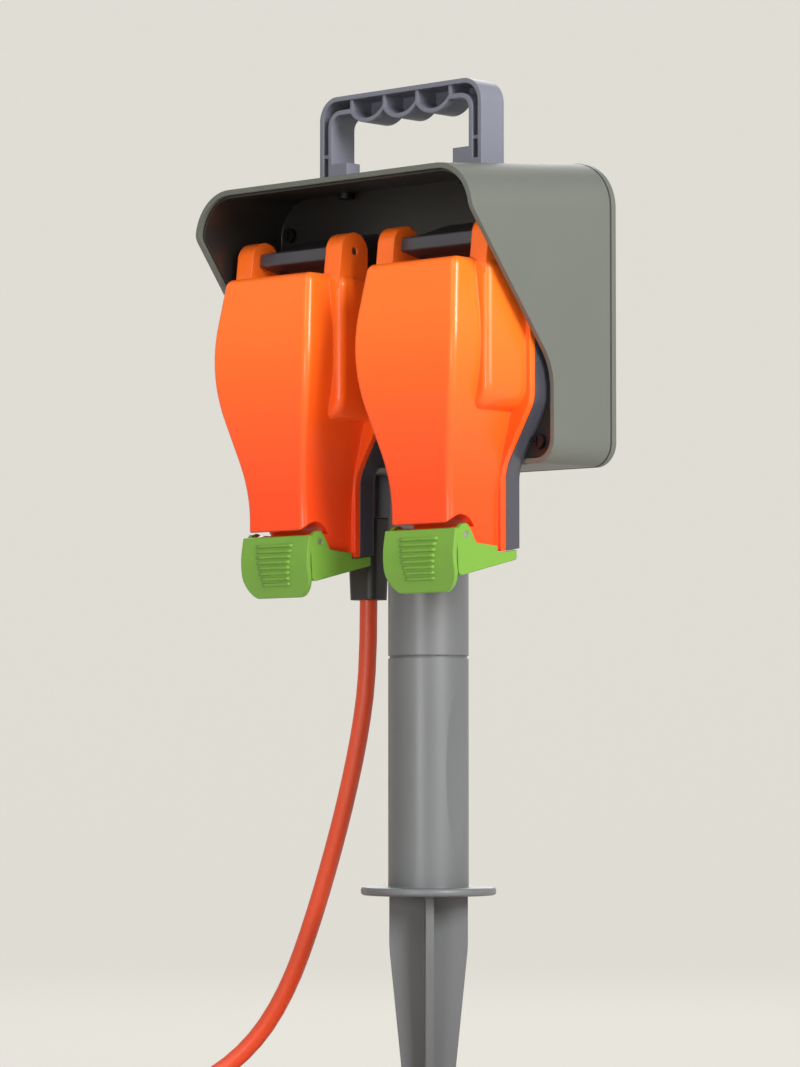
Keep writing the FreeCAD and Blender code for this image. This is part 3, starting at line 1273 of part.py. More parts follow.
def make_plug_pieces():
    """The plug's body, strain relief, three pins, fuse and fuse carrier by name."""
    right = [(PLUG_HALF, -PLUG_LONG, 7.0), (PLUG_HALF, -PLUG_LONG * 0.42, 10.0), (PLUG_NECK, 0, 5.0)]
    body = plan_slab(mirrored(right), 0, PLUG_THICK)
    body = rounded(body, 2.4, lambda e: e.BoundBox.ZLength < 0.01)
    pins = {
        "earth": plug_pin(0, PIN_ROW - EARTH_RISE - LINE_DROP, PIN_THIN, EARTH_TALL, EARTH_LONG),
        "live": plug_pin(-LINE_OFFSET, PIN_ROW, PIN_WIDE, PIN_THIN, LINE_LONG),
        "neutral": plug_pin(LINE_OFFSET, PIN_ROW, PIN_WIDE, PIN_THIN, LINE_LONG),
    }
    for pin in pins.values():
        body = body.cut(pin)
    low = PLUG_THICK - 11.0
    body = body.cut(carrier_box(0.1, low - 0.1))
    carrier = carrier_box(0, low)
    fuse_z = low + 4.2
    start, end = CARRIER_Y - FUSE_LONG / 2, CARRIER_Y + FUSE_LONG / 2
    bed = rod(FUSE_RADIUS + RUNNING_FIT, (0, start - RUNNING_FIT, fuse_z), (0, end + RUNNING_FIT, fuse_z))
    carrier = carrier.cut(bed).cut(box(-FUSE_RADIUS, FUSE_RADIUS, start, end, low - 1, fuse_z))
    carrier = carrier.cut(box(-3, 3, CARRIER_Y - 0.6, CARRIER_Y + 0.6, PLUG_THICK - 1.2, PLUG_THICK + 1))
    fuse_link = rod(FUSE_RADIUS, (0, start, fuse_z), (0, end, fuse_z))
    relief = Part.makeCone(6.4, 5.4, PLUG_RELIEF, Vector(0, 0, PLUG_AXIS), Vector(0, 1, 0))
    for i in range(4):
        y = 6 + i * 5.5
        relief = relief.cut(ring(8, 4.9, (0, y, PLUG_AXIS), (0, y + 2.2, PLUG_AXIS)))
    relief = relief.cut(box(-20, 20, -1, PLUG_RELIEF + 1, -5, 0.5))
    return {
        "plug_body": body,
        "plug_strain_relief": relief,
        "plug_pin_earth": pins["earth"],
        "plug_pin_live": pins["live"],
        "plug_pin_neutral": pins["neutral"],
        "plug_fuse": fuse_link,
        "plug_fuse_carrier": carrier,
    }


def make_cores():
    """The cord's three cores from the clamp to their terminals."""
    level = BAR_FRONT + BAR_THICK + CORE_DIAMETER / 2 + 0.1
    starts = {"live": (1.9, -1.2), "neutral": (0.0, 1.9), "earth": (-1.9, -1.2)}
    cores = {}
    for name, (dx, dy) in starts.items():
        x, strip = TERMINALS[name]
        low = SOCKET_MIDDLE - BOX_HALF
        side = x - SMALL_HEAD - CORE_DIAMETER / 2 - 0.2
        points = [
            (CORD_X + dx, dy, CORD_END),
            (CORD_X + dx, dy, CORD_END + 2.6),
            ((CORD_X + dx + side) / 2, (level + dy) / 2, CORD_END + 4.6),
            (side, level, low - 2.0),
            (side, level, strip + BAR_TALL),
        ]
        wire, _ = route(points)
        cores["core_" + name] = tube(wire, CORE_DIAMETER / 2, (0, 0, 1))
    return cores


def main():
    os.makedirs("parts", exist_ok=True)
    export("housing", make_housing())
    export("front_panel", make_front_panel())
    export("panel_seal", make_panel_seal())
    export("back_cover", make_back_cover())
    export("housing_screws", make_housing_screws())
    export("handle", make_handle())
    export("handle_screws", make_handle_screws())
    export("stem_tube", make_stem_tube())
    export("stem_screws", make_stem_screws())
    export("spike", make_spike())
    export("stem_lock_screw", make_lock_screw())

    outlet = {
        "socket_base": make_socket_base(),
        "socket_face": make_socket_face(),
        "socket_back": make_socket_back(),
        "shutter": make_shutter(),
        "shutter_spring": make_shutter_spring(),
        "hinge_pin": make_hinge_pin(),
        "lid": make_lid(),
        "lid_seal": make_lid_seal(),
        "latch": make_latch(),
        "latch_pin": make_latch_pin(),
    }
    for side, middle in SIDES:
        for name, shape in outlet.items():
            export(name + "_" + side, shape.translated(Vector(middle, 0, 0)))
    export("outlet_screws", make_outlet_screws())
    for name, shape in make_bars().items():
        export(name + "_bar", shape)
    export("terminal_screws", make_terminal_screws())

    export("cord_gland", make_cord_gland())
    export("strain_relief", make_strain_relief())
    export("cord_clamp", make_cord_clamp())
    export("cord_clamp_screws", make_cord_clamp_screws())
    inlet = cord_hole(RELIEF_BOTTOM, CORD_END, CORD_RADIUS)
    export("cord_inlet", inlet)
    for name, shape in make_cores().items():
        export(name, shape)

    drop, drop_radii = route(DROP_POINTS)
    spine = coil_spine()
    tail, tail_radii = route(TAIL_POINTS)
    export("cord_drop", tube(drop, CORD_RADIUS, (0, 0, -1)))
    onward = Vector(*in_coil(0, 1, 0)) - Vector(*in_coil(0, 0, 0))
    export("cord_coil", tube(spine, CORD_RADIUS, -onward))
    export("cord_tail", tube(tail, CORD_RADIUS, onward))
    export("coil_ties", make_coil_ties())
    for name, shape in make_plug_pieces().items():
        export(name, plug_place(shape))

    print("cord radii", [round(r) for r in drop_radii + tail_radii])
    total = drop.Length + spine.Length + tail.Length
    print("cord lengths", round(drop.Length), round(spine.Length), round(tail.Length), "in all", round(total))
    print("coil's least gap to itself", round(coil_gap(spine), 2))


main()
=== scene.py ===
import math

import bmesh
import bpy
from bpy.props import FloatProperty, FloatVectorProperty, IntProperty, PointerProperty
from mathutils import Matrix, Vector
from mathutils.bvhtree import BVHTree
from mathutils.geometry import convex_hull_2d


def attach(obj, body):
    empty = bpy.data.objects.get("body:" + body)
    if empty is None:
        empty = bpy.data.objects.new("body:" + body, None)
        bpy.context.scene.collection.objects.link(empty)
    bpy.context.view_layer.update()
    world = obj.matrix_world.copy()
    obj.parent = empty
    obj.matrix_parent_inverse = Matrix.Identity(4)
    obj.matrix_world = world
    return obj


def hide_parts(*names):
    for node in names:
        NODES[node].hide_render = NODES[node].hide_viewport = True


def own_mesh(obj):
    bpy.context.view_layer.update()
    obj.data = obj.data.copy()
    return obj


bl_info = {
    "name": "Garden Socket Spike",
    "version": (1, 0, 0),
    "blender": (4, 5, 0),
    "location": "View3D > Sidebar > Socket Spike",
    "description": "Finishes, supply cord, straps and small mouldings of a garden socket spike",
    "category": "Object",
}

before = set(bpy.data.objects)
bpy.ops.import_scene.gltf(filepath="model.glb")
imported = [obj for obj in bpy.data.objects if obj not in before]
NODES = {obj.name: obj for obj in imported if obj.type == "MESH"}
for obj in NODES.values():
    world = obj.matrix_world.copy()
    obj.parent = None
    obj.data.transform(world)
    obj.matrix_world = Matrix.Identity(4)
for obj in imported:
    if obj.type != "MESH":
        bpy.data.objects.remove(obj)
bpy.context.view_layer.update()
SIDES = ("left", "right")
MM = 0.001

# Places on the CAD model, in millimetres
OUTLET_MIDDLES = (-41.5, 41.5)
REAR_SEAM = 22.5
TOP_RIB = 146.5
# Heights where the lids' painted shade is full and where it ends
LID_SHADE_FULL = 150
LID_SHADE_END = 260

# Moulded surfaces: how far gloss and tone drift from one place to the next, and over what length
GLOSS_DRIFT = 0.04
DRIFT_LENGTH = 50 * MM


def linear(code):
    """An sRGB hex value as linear red, green and blue."""
    channels = [int(code[i:i + 2], 16) / 255 for i in (0, 2, 4)]
    return [c / 12.92 if c <= 0.04045 else ((c + 0.055) / 1.055) ** 2.4 for c in channels]


def colour(name, description, code):
    """A colour setting, with its default as an sRGB hex value."""
    return FloatVectorProperty(name=name, description=description, default=linear(code),
                               subtype="COLOR", size=3, min=0, max=1)


def distance(name, description, millimetres):
    """A length setting, with its default in millimetres."""
    return FloatProperty(name=name, description=description, default=millimetres * MM,
                         subtype="DISTANCE", unit="LENGTH")


# Settings


class SpikeColours(bpy.types.PropertyGroup):
    """Colours of the spike's finishes and of the floor"""

    hood: colour("Hood", "Grey of the hood, box and back cover", "575A54")
    # On the hood's lining this black is painted shade inside the visor; the front panel is black of its
    # own
    panel: colour("Front panel", "Black of the front panel and the hood's lining", "24211F")
    base: colour("Outlet bases", "Dark grey of the bases and hinge shrouds", "3C3C44")
    handle: colour("Handle", "Cool grey of the carrying handle", "696B77")
    stem: colour("Stem", "Grey of the stem, flange and spike", "5A5C5E")
    lid: colour("Lids", "Orange of the two lids", "F26B1E")
    # Painted shade: the lids are painted redder and darker towards their tongues, where they face down
    # and get less light
    lid_shade: colour("Lids, lower end", "Redder orange of the lids towards their tongues", "E8420F")
    latch: colour("Latches", "Green of the two latches", "649030")
    cord: colour("Cord", "Orange of the supply cord's sheath", "C9431F")
    relief: colour("Strain relief", "Black of the sleeve, seals and plug", "262423")
    strap: colour("Straps", "Black of the straps round the coil", "1C1C1F")
    floor: colour("Floor", "Pale floor and backdrop", "E4E1D9")


class SpikeSizes(bpy.types.PropertyGroup):
    """Sizes of the cord, straps and small mouldings, and of the stage"""

    cord: distance("Cord diameter", "Across the supply cord's sheath", 7.8)
    strap_width: distance("Strap width", "Width of the straps round the coil", 14.0)
    strap_thick: distance("Strap thickness", "Thickness of the straps round the coil", 0.8)
    rib: distance("Latch rib", "Radius of the grip ribs on the latches", 0.75)
    ribs: IntProperty(name="Latch ribs", description="Grip ribs on each latch", default=8, min=1)
    rib_step: distance("Rib step", "From one grip rib to the next", 2.3)
    rib_length: distance("Rib length", "Length of the top grip rib", 21.0)
    rib_taper: distance("Rib taper", "How much shorter each rib is than the one above it", 0.7)
    # Painted shadow: these size the thin dark strip that stands in for the shadow in the seam round the
    # back cover
    seam_shadow: distance("Gasket line", "Width of the gasket's edge round the back cover", 0.9)
    seam_shadow_depth: distance("Gasket depth", "How deep the gasket's edge goes into the seam", 0.6)
    mould_edge: distance("Moulded edge", "Radius of the soft edges of the mouldings", 0.6)
    camera_away: distance("Camera distance", "From the stem's axis to the camera", 1770.0)
    stage_reach: distance("Stage reach", "Radius of the flat floor", 3500.0)


class SpikeSettings(bpy.types.PropertyGroup):
    """All that a user can change"""

    colours: PointerProperty(type=SpikeColours)
    sizes: PointerProperty(type=SpikeSizes)


# Materials

# A colour Mix node has several sockets of each name, so its colours are reached by number
MIX_A = 6
MIX_B = 7
MIX_RESULT = 2


def add(tree, kind, inputs=None, **settings):
    """One node with its settings, its input values and its links."""
    node = tree.nodes.new(kind)
    for key, value in settings.items():
        setattr(node, key, value)
    for key, value in (inputs or {}).items():
        if isinstance(value, bpy.types.NodeSocket):
            tree.links.new(value, node.inputs[key])
        else:
            node.inputs[key].default_value = value
    return node


def new_material(name):
    """A material with its node tree and its shader."""
    material = bpy.data.materials.new(name)
    material.use_nodes = True
    return material, material.node_tree, material.node_tree.nodes["Principled BSDF"]


def mixed(tree, factor, first, second):
    """A blend of two fixed colours by a factor."""
    blend = add(tree, "ShaderNodeMix", {"Factor": factor}, data_type="RGBA")
    blend.inputs[MIX_A].default_value = first
    blend.inputs[MIX_B].default_value = second
    return blend


def tinted(rgb, share):
    """A colour made lighter or darker by a share, with alpha."""
    return [min(1, c * share) for c in rgb] + [1]


def moulded(name, rgb, roughness, grain, depth, edge, variation=0.06, coat=0.0, specular=0.5,
            painted_shade=None):
    """Moulded plastic or rubber: mould texture as bump, uneven tone and gloss, soft edges.

    grain is the texture's size, depth its height and edge the radius of the soft edges, all in
    metres. The last argument gives painted shade: a second colour, with the height where it is full
    and the height where it ends."""
    material, tree, shader = new_material(name)
    place = add(tree, "ShaderNodeTexCoord").outputs["Object"]
    flow = add(tree, "ShaderNodeTexNoise", {"Vector": place, "Scale": 1 / DRIFT_LENGTH, "Detail": 1.0})
    texture = add(tree, "ShaderNodeTexNoise", {"Vector": place, "Scale": 1 / grain, "Detail": 2.0})
    tone = mixed(tree, flow.outputs["Fac"], tinted(rgb, 1 - variation), tinted(rgb, 1 + variation))
    gloss = add(tree, "ShaderNodeMapRange", {
        "Value": flow.outputs["Fac"], "From Min": 0.2, "From Max": 0.8,
        "To Min": roughness - GLOSS_DRIFT, "To Max": roughness + GLOSS_DRIFT})
    corner = add(tree, "ShaderNodeBevel", {"Radius": edge}, samples=4)
    bump = add(tree, "ShaderNodeBump", {
        "Height": texture.outputs["Fac"], "Distance": depth, "Strength": 0.5,
        "Normal": corner.outputs["Normal"]})
    skin = tone.outputs[MIX_RESULT]
    # Painted shade: below the upper height the tone turns towards the redder, darker second colour
    if painted_shade:
        shade_rgb, full, end = painted_shade
        height = add(tree, "ShaderNodeSeparateXYZ", {"Vector": place}).outputs["Z"]
        share = add(tree, "ShaderNodeMapRange", {"Value": height, "From Min": full, "From Max": end},
                    interpolation_type="SMOOTHSTEP")
        blend = add(tree, "ShaderNodeMix", {"Factor": share.outputs["Result"], MIX_B: skin},
                    data_type="RGBA")
        blend.inputs[MIX_A].default_value = tinted(shade_rgb, 1)
        skin = blend.outputs[MIX_RESULT]
    tree.links.new(skin, shader.inputs["Base Color"])
    tree.links.new(gloss.outputs["Result"], shader.inputs["Roughness"])
    tree.links.new(bump.outputs["Normal"], shader.inputs["Normal"])
    shader.inputs["Specular IOR Level"].default_value = specular
    shader.inputs["Coat Weight"].default_value = coat
    return material


def metal(name, rgb, roughness, scratch):
    """Metal with fine drawn or turned marks of the size scratch, in metres."""
    material, tree, shader = new_material(name)
    place = add(tree, "ShaderNodeTexCoord").outputs["Object"]
    marks = add(tree, "ShaderNodeTexNoise", {"Vector": place, "Scale": 1 / scratch, "Detail": 4.0})
    gloss = add(tree, "ShaderNodeMapRange", {
        "Value": marks.outputs["Fac"], "To Min": roughness - 0.08, "To Max": roughness + 0.12})
    bump = add(tree, "ShaderNodeBump", {
        "Height": marks.outputs["Fac"], "Distance": 0.02 * MM, "Strength": 0.4})
    tree.links.new(gloss.outputs["Result"], shader.inputs["Roughness"])
    tree.links.new(bump.outputs["Normal"], shader.inputs["Normal"])
    shader.inputs["Base Color"].default_value = list(rgb) + [1]
    shader.inputs["Metallic"].default_value = 1.0
    return material


def woven(name, rgb):
    """Woven hook-and-loop tape: crossed threads 1.2 mm apart, drawn coarser to show, with fuzz."""
    material, tree, shader = new_material(name)
    place = add(tree, "ShaderNodeTexCoord").outputs["Object"]
    waves = {"Vector": place, "Scale": 1 / (1.2 * MM) / math.tau}
    warp = add(tree, "ShaderNodeTexWave", waves, bands_direction="X")
    weft = add(tree, "ShaderNodeTexWave", waves, bands_direction="Y")
    cross = add(tree, "ShaderNodeMath", {0: warp.outputs["Fac"], 1: weft.outputs["Fac"]},
                operation="MAXIMUM")
    tone = mixed(tree, cross.outputs["Value"], tinted(rgb, 0.6), tinted(rgb, 1.5))
    bump = add(tree, "ShaderNodeBump", {
        "Height": cross.outputs["Value"], "Distance": 0.2 * MM, "Strength": 0.6})
    tree.links.new(tone.outputs[MIX_RESULT], shader.inputs["Base Color"])
    tree.links.new(bump.outputs["Normal"], shader.inputs["Normal"])
    shader.inputs["Roughness"].default_value = 0.9
    shader.inputs["Sheen Weight"].default_value = 0.3
    return material


def settings():
    """The colours and sizes in the scene's sidebar."""
    return bpy.context.scene.socket_spike


def finish_nodes(material, *names):
    """The material on CAD nodes, through their objects' slots."""
    for name in names:
        for slot in NODES[name].material_slots:
            slot.material = material


def paired(*stems):
    """The names of nodes that exist once for each outlet."""
    return [stem + "_" + side for stem in stems for side in SIDES]


# Meshes


def linked(name, data):
    """A new object at the origin, in the scene's own collection."""
    thing = bpy.data.objects.new(name, data)
    bpy.context.scene.collection.objects.link(thing)
    return thing


def smooth_object(name, mesh, material):
    """A bmesh as a smooth-shaded object with one material."""
    data = bpy.data.meshes.new(name)
    mesh.to_mesh(data)
    mesh.free()
    data.materials.append(material)
    for face in data.polygons:
        face.use_smooth = True
    return linked(name, data)


def new_piece(name, mesh, material, body):
    """A bmesh as a finished piece that rides on a body."""
    piece = smooth_object(name, mesh, material)
    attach(piece, body)
    return piece


def band(path, width, thick, radius=0.0):
    """A closed flat band of that width whose inside runs along a path in the XZ plane.

    With a radius, the path's corners are rounded."""
    mesh = bmesh.new()
    spots = [mesh.verts.new((x, 0, z)) for x, z in path]
    for first, last in zip(spots, spots[1:] + spots[:1]):
        mesh.edges.new((first, last))
    if radius:
        bmesh.ops.bevel(mesh, geom=mesh.verts[:], offset=radius, segments=6, profile=0.5,
                        affect="VERTICES", material=-1)
    grown = bmesh.ops.extrude_edge_only(mesh, edges=mesh.edges[:])["geom"]
    bmesh.ops.translate(mesh, verts=[v for v in grown if isinstance(v, bmesh.types.BMVert)],
                        vec=(0, width, 0))
    bmesh.ops.recalc_face_normals(mesh, faces=mesh.faces[:])
    bmesh.ops.solidify(mesh, geom=mesh.faces[:], thickness=-thick)
    return mesh


def face_tree(node):
    """A CAD node's faces as a tree that lines can be cast at."""
    data = node.data
    return BVHTree.FromPolygons([v.co for v in data.vertices], [f.vertices for f in data.polygons])


def front_of(tree, x, z):
    """Where a line from the front first meets the faces of a tree."""
    return tree.ray_cast(Vector((x, -1, z)), Vector((0, 1, 0)))[0]


def outline_at(node, y, inset):
    """The outermost convex outline of a CAD node's points at one depth, moved inwards by inset."""
    flat = [Vector((v.co.x, v.co.z)) for v in node.data.vertices if abs(v.co.y - y) < 0.02 * MM]
    ring = [flat[i] for i in convex_hull_2d(flat)]
    # Points closer than this are one and the same corner
    ring = [a for a, b in zip(ring, ring[1:] + ring[:1]) if (a - b).length > 0.05 * MM]
    moved = []
    for before, spot, after in zip(ring[-1:] + ring[:-1], ring, ring[1:] + ring[:1]):
        along = (after - before).normalized()
        moved.append(spot + inset * Vector((-along.y, along.x)))
    return moved


# Housing


class HousingFinish(bpy.types.Operator):
    """Finish the hood, box, back cover, front panel and handle"""

    bl_idname = "socket_spike.housing"
    bl_label = "Housing"

    def execute(self, context):
        tones, sizes = settings().colours, settings().sizes
        # Weatherproof ASA from a spark-eroded mould: an even satin with a fine grain
        shell = moulded("ASA, satin grey", tones.hood, 0.5, 0.9 * MM, 0.05 * MM, sizes.mould_edge)
        finish_nodes(shell, "housing", "back_cover")
        # Polypropylene from a polished mould: near black with broad soft reflections. On the hood's
        # lining the black is painted shade inside the visor; the front panel is black of its own.
        black = moulded("Polypropylene, black", tones.panel, 0.33, 1.5 * MM, 0.02 * MM,
                        sizes.mould_edge)
        finish_nodes(black, "front_panel", "cord_clamp")
        # Glass-filled nylon: a slightly cool, waxy grey with a fine grain
        grip = moulded("Nylon, cool grey", tones.handle, 0.45, 0.8 * MM, 0.04 * MM, sizes.mould_edge)
        finish_nodes(grip, "handle")
        # Extruded EPDM foam rubber: matt, with fine open cells
        rubber = moulded("EPDM rubber", tones.relief, 0.8, 0.5 * MM, 0.08 * MM, 0.3 * MM)
        finish_nodes(rubber, "panel_seal", *paired("lid_seal"))
        # Painted shadow: a thin dark strip runs where the back cover meets the hood, a dark line in
        # place of the seam's shadow
        proud = 0.1 * MM
        path = outline_at(NODES["back_cover"], REAR_SEAM * MM, sizes.seam_shadow_depth - proud)
        mesh = band(path, sizes.seam_shadow, sizes.seam_shadow_depth)
        bmesh.ops.translate(mesh, verts=mesh.verts[:],
                            vec=(0, REAR_SEAM * MM - sizes.seam_shadow / 2, 0))
        new_piece("seam_shadow_strip", mesh, rubber, "root")
        return {"FINISHED"}


# Stem


class StemFinish(bpy.types.Operator):
    """Finish the stem, flange and ground spike"""

    bl_idname = "socket_spike.stem"
    bl_label = "Stem and Spike"

    def execute(self, context):
        tones, sizes = settings().colours, settings().sizes
        # Impact-grade polypropylene: satin, with faint flow marks from long mouldings
        stem = moulded("Polypropylene, satin grey", tones.stem, 0.38, 0.8 * MM, 0.04 * MM,
                       sizes.mould_edge)
        finish_nodes(stem, "stem_tube", "spike")
        return {"FINISHED"}


# Outlets


class OutletFinish(bpy.types.Operator):
    """Finish the outlet bases, faces, shutters, contacts, pins and screws"""

    bl_idname = "socket_spike.outlets"
    bl_label = "Outlets"

    def execute(self, context):
        tones, sizes = settings().colours, settings().sizes
        # Polished ABS: glossy dark grey whose curved shrouds mirror the light as one streak
        base = moulded("ABS, polished dark grey", tones.base, 0.28, 2.0 * MM, 0.01 * MM,
                       sizes.mould_edge, coat=0.2)
        finish_nodes(base, "cord_gland", *paired("socket_base"))
        # Urea moulding compound: dense, dark and evenly satin
        face = moulded("Urea, dark", linear("2E2E31"), 0.42, 1.0 * MM, 0.02 * MM, 0.4 * MM)
        finish_nodes(face, *paired("socket_face", "socket_back"))
        # Natural polycarbonate: pale and slightly glossy
        shutter = moulded("Polycarbonate, cream", linear("D8D4C8"), 0.35, 1.0 * MM, 0.02 * MM, 0.3 * MM)
        finish_nodes(shutter, *paired("shutter"))
        # Bright zinc on turned steel: cool and finely marked
        zinc = metal("Zinc-plated steel", linear("C4C6C8"), 0.32, 0.4 * MM)
        finish_nodes(zinc, "stem_screws", "stem_lock_screw", "terminal_screws", "cord_clamp_screws",
                     *paired("hinge_pin", "latch_pin"))
        # Black oxide on the screws in front, so that they don't show against the panel
        oxide = metal("Black-oxide steel", linear("3A3A3C"), 0.45, 0.4 * MM)
        finish_nodes(oxide, "handle_screws", "outlet_screws", "housing_screws")
        # Drawn spring wire: darker, with marks along the wire
        wire = metal("Spring steel", linear("8E9092"), 0.3, 0.2 * MM)
        finish_nodes(wire, *paired("shutter_spring"))
        for side, middle in zip(SIDES, OUTLET_MIDDLES):
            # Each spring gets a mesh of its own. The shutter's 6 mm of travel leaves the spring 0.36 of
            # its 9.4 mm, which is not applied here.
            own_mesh(NODES["shutter_spring_" + side])
        # Stamped brass: warm, with rolling marks
        brass = metal("Brass, stamped", linear("D2AE5A"), 0.28, 0.5 * MM)
        finish_nodes(brass, "live_bar", "neutral_bar", "earth_bar", "plug_pin_earth", "plug_pin_live",
                     "plug_pin_neutral")
        for name, code in (("live", "6B3A1E"), ("neutral", "2E5FA8"), ("earth", "8DB52A")):
            # Soft PVC insulation: smooth and slightly glossy
            core = moulded("PVC core, " + name, linear(code), 0.4, 1.2 * MM, 0.02 * MM, 0.1 * MM)
            finish_nodes(core, "core_" + name)
        return {"FINISHED"}


# Lids and latches


class LidFinish(bpy.types.Operator):
    """Finish the lids and latches, and add the latches' grip ribs"""

    bl_idname = "socket_spike.lids"
    bl_label = "Lids and Latches"

    def execute(self, context):
        tones, sizes = settings().colours, settings().sizes
        # Polished ABS in a warm orange: a clear gloss over a slightly uneven tone. Towards their
        # tongues the lids get painted shade, redder and darker.
        lid = moulded("ABS, polished orange", tones.lid, 0.3, 1.6 * MM, 0.012 * MM, 1.0 * MM,
                      variation=0.03, coat=0.1, specular=0.35,
                      painted_shade=(tones.lid_shade, LID_SHADE_FULL * MM, LID_SHADE_END * MM))
        finish_nodes(lid, *paired("lid"))
        # Acetal: tough and waxy, green, less glossy than the lids
        latch = moulded("Acetal, green", tones.latch, 0.36, 0.9 * MM, 0.03 * MM, 0.8 * MM,
                        variation=0.05)
        finish_nodes(latch, *paired("latch"))
        for side, middle in zip(SIDES, OUTLET_MIDDLES):
            mesh = bmesh.new()
            plate = face_tree(NODES["latch_" + side])
            for k in range(sizes.ribs):
                seat = front_of(plate, middle * MM, TOP_RIB * MM - k * sizes.rib_step)
                turn = Matrix.Rotation(math.pi / 2, 4, "Y")
                # The ribs get shorter towards the plate's narrow end
                length = sizes.rib_length - k * sizes.rib_taper
                bmesh.ops.create_cone(mesh, cap_ends=True, segments=12, radius1=sizes.rib,
                                      radius2=sizes.rib, depth=length,
                                      matrix=Matrix.Translation(seat) @ turn)
            # They are bent to the plate's curve across its width
            lengthwise = [edge for edge in mesh.edges if edge.calc_length() > 5 * MM]
            bmesh.ops.subdivide_edges(mesh, edges=lengthwise, cuts=9)
            for vert in mesh.verts:
                x, y, z = vert.co
                vert.co.y = y + front_of(plate, x, z).y - front_of(plate, middle * MM, z).y
            new_piece("latch_ribs_" + side, mesh, latch, "latch_" + side)
        return {"FINISHED"}


# Supply cord

# Places of the cord's path in millimetres, as on the CAD model
CORD_X = -35.0
RELIEF_BOTTOM = 125.0
FLOOR = -165.0
COIL_X = -15.0
COIL_Y = -28.0
COIL_TURN = 45.0
COIL_OUTER = 106.8
COIL_PITCH = 9.6
COLUMNS = 3
COIL_INNER = COIL_OUTER - (COLUMNS - 1) * COIL_PITCH
TURN_RISE = 8.8
HALF_TURNS = 15
COIL_LOW = -160.3
COIL_TOP = COIL_LOW + HALF_TURNS * TURN_RISE / 2
PLUG_LEVEL = FLOOR + 8
CORD_RADIUS = 3.9
TIE_ANGLES = (COIL_TURN + 90, COIL_TURN + 270)
# Control points to each half turn
STEPS = 12


def in_coil(u, v, z):
    """A point from the coil's own turned frame."""
    turn = math.radians(COIL_TURN)
    return (COIL_X + u * math.cos(turn) - v * math.sin(turn),
            COIL_Y + u * math.sin(turn) + v * math.cos(turn), z)


DROP_POINTS = [
    (CORD_X, 0, RELIEF_BOTTOM),
    (CORD_X, 0, 97),
    (CORD_X - 4, -0.5, 70),
    (CORD_X - 11.5, -1, 42),
    (CORD_X - 21, -1.5, 14),
    (CORD_X - 31.5, -2.5, -14),
    (CORD_X - 42, -5, -40),
    (CORD_X - 54.5, -10, -62),
    (CORD_X - 68, -20, -78),
    (CORD_X - 78.5, -36, -87),
    (CORD_X - 82, -62, -91.5),
    in_coil(-COIL_OUTER, 20, COIL_TOP),
]

TAIL_POINTS = [
    in_coil(COIL_INNER, 0, COIL_LOW),
    in_coil(COIL_INNER, 21, COIL_LOW),
    in_coil(75, 42, COIL_LOW),
    in_coil(53, 57, COIL_LOW),
    in_coil(27, 65, COIL_LOW),
    in_coil(-2, 66, COIL_LOW),
    in_coil(-31, 58, COIL_LOW),
    in_coil(-56, 41, COIL_LOW),
    in_coil(-75, 10, COIL_LOW),
    in_coil(-78.5, -14, COIL_LOW),
    in_coil(-72, -33, COIL_LOW + 0.7),
    in_coil(-57, -46.5, PLUG_LEVEL - 1.2),
    in_coil(-37.3, -51.2, PLUG_LEVEL),
    in_coil(-17.7, -45.9, PLUG_LEVEL),
]


def coil_points():
    """Points of half turns wound in columns, down, up and down again, each within the last."""
    points = []
    reach = COIL_OUTER
    side = -1
    level = COIL_TOP
    # Control points stand outside the curve they give by the cosine of half a step
    spread = 1 / math.cos(math.pi / STEPS / 2)
    steps = []
    for column in range(COLUMNS):
        if column:
            steps.append((-COIL_PITCH, 0))
        steps += [(0, TURN_RISE / 2 if column % 2 else -TURN_RISE / 2)] * HALF_TURNS
    for change, lift in steps:
        radius = spread * (reach + change / 2)
        for k in range(STEPS):
            angle = math.pi * k / STEPS
            points.append(in_coil(-side * change / 2 + side * radius * math.cos(angle),
                                  side * radius * math.sin(angle),
                                  level + lift * (1 - math.cos(angle)) / 2))
        reach += change
        level += lift
        side = -side
    return points


class SupplyCord(bpy.types.Operator):
    """Lay the supply cord from the strain relief to its plug"""

    bl_idname = "socket_spike.cord"
    bl_label = "Supply Cord"

    def execute(self, context):
        tones, sizes = settings().colours, settings().sizes
        points = DROP_POINTS + coil_points() + TAIL_POINTS
        curve = bpy.data.curves.new("supply_cord", "CURVE")
        curve.dimensions = "3D"
        spline = curve.splines.new("NURBS")
        spline.points.add(len(points) - 1)
        for point, spot in zip(spline.points, points):
            point.co = [c * MM for c in spot] + [1]
        spline.order_u = 3
        spline.use_endpoint_u = True
        spline.resolution_u = 3
        curve.bevel_depth = sizes.cord / 2
        curve.bevel_resolution = 4
        curve.use_fill_caps = True
        # Cold-flexible PVC sheath: faintly waxy, with shallow ripples over the twisted cores
        sheath = moulded("PVC sheath, orange", tones.cord, 0.42, 3.0 * MM, 0.05 * MM, 0.2 * MM,
                         variation=0.04)
        curve.materials.append(sheath)
        finish_nodes(sheath, "cord_inlet")
        cord = linked("supply_cord", curve)
        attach(cord, "root")
        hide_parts("cord_drop", "cord_coil", "cord_tail")
        # Soft thermoplastic rubber: matt black with a sheen along its edges
        boot = moulded("TPE, black", tones.relief, 0.5, 0.8 * MM, 0.04 * MM, 1.2 * MM)
        finish_nodes(boot, "strain_relief", "plug_strain_relief")
        return {"FINISHED"}


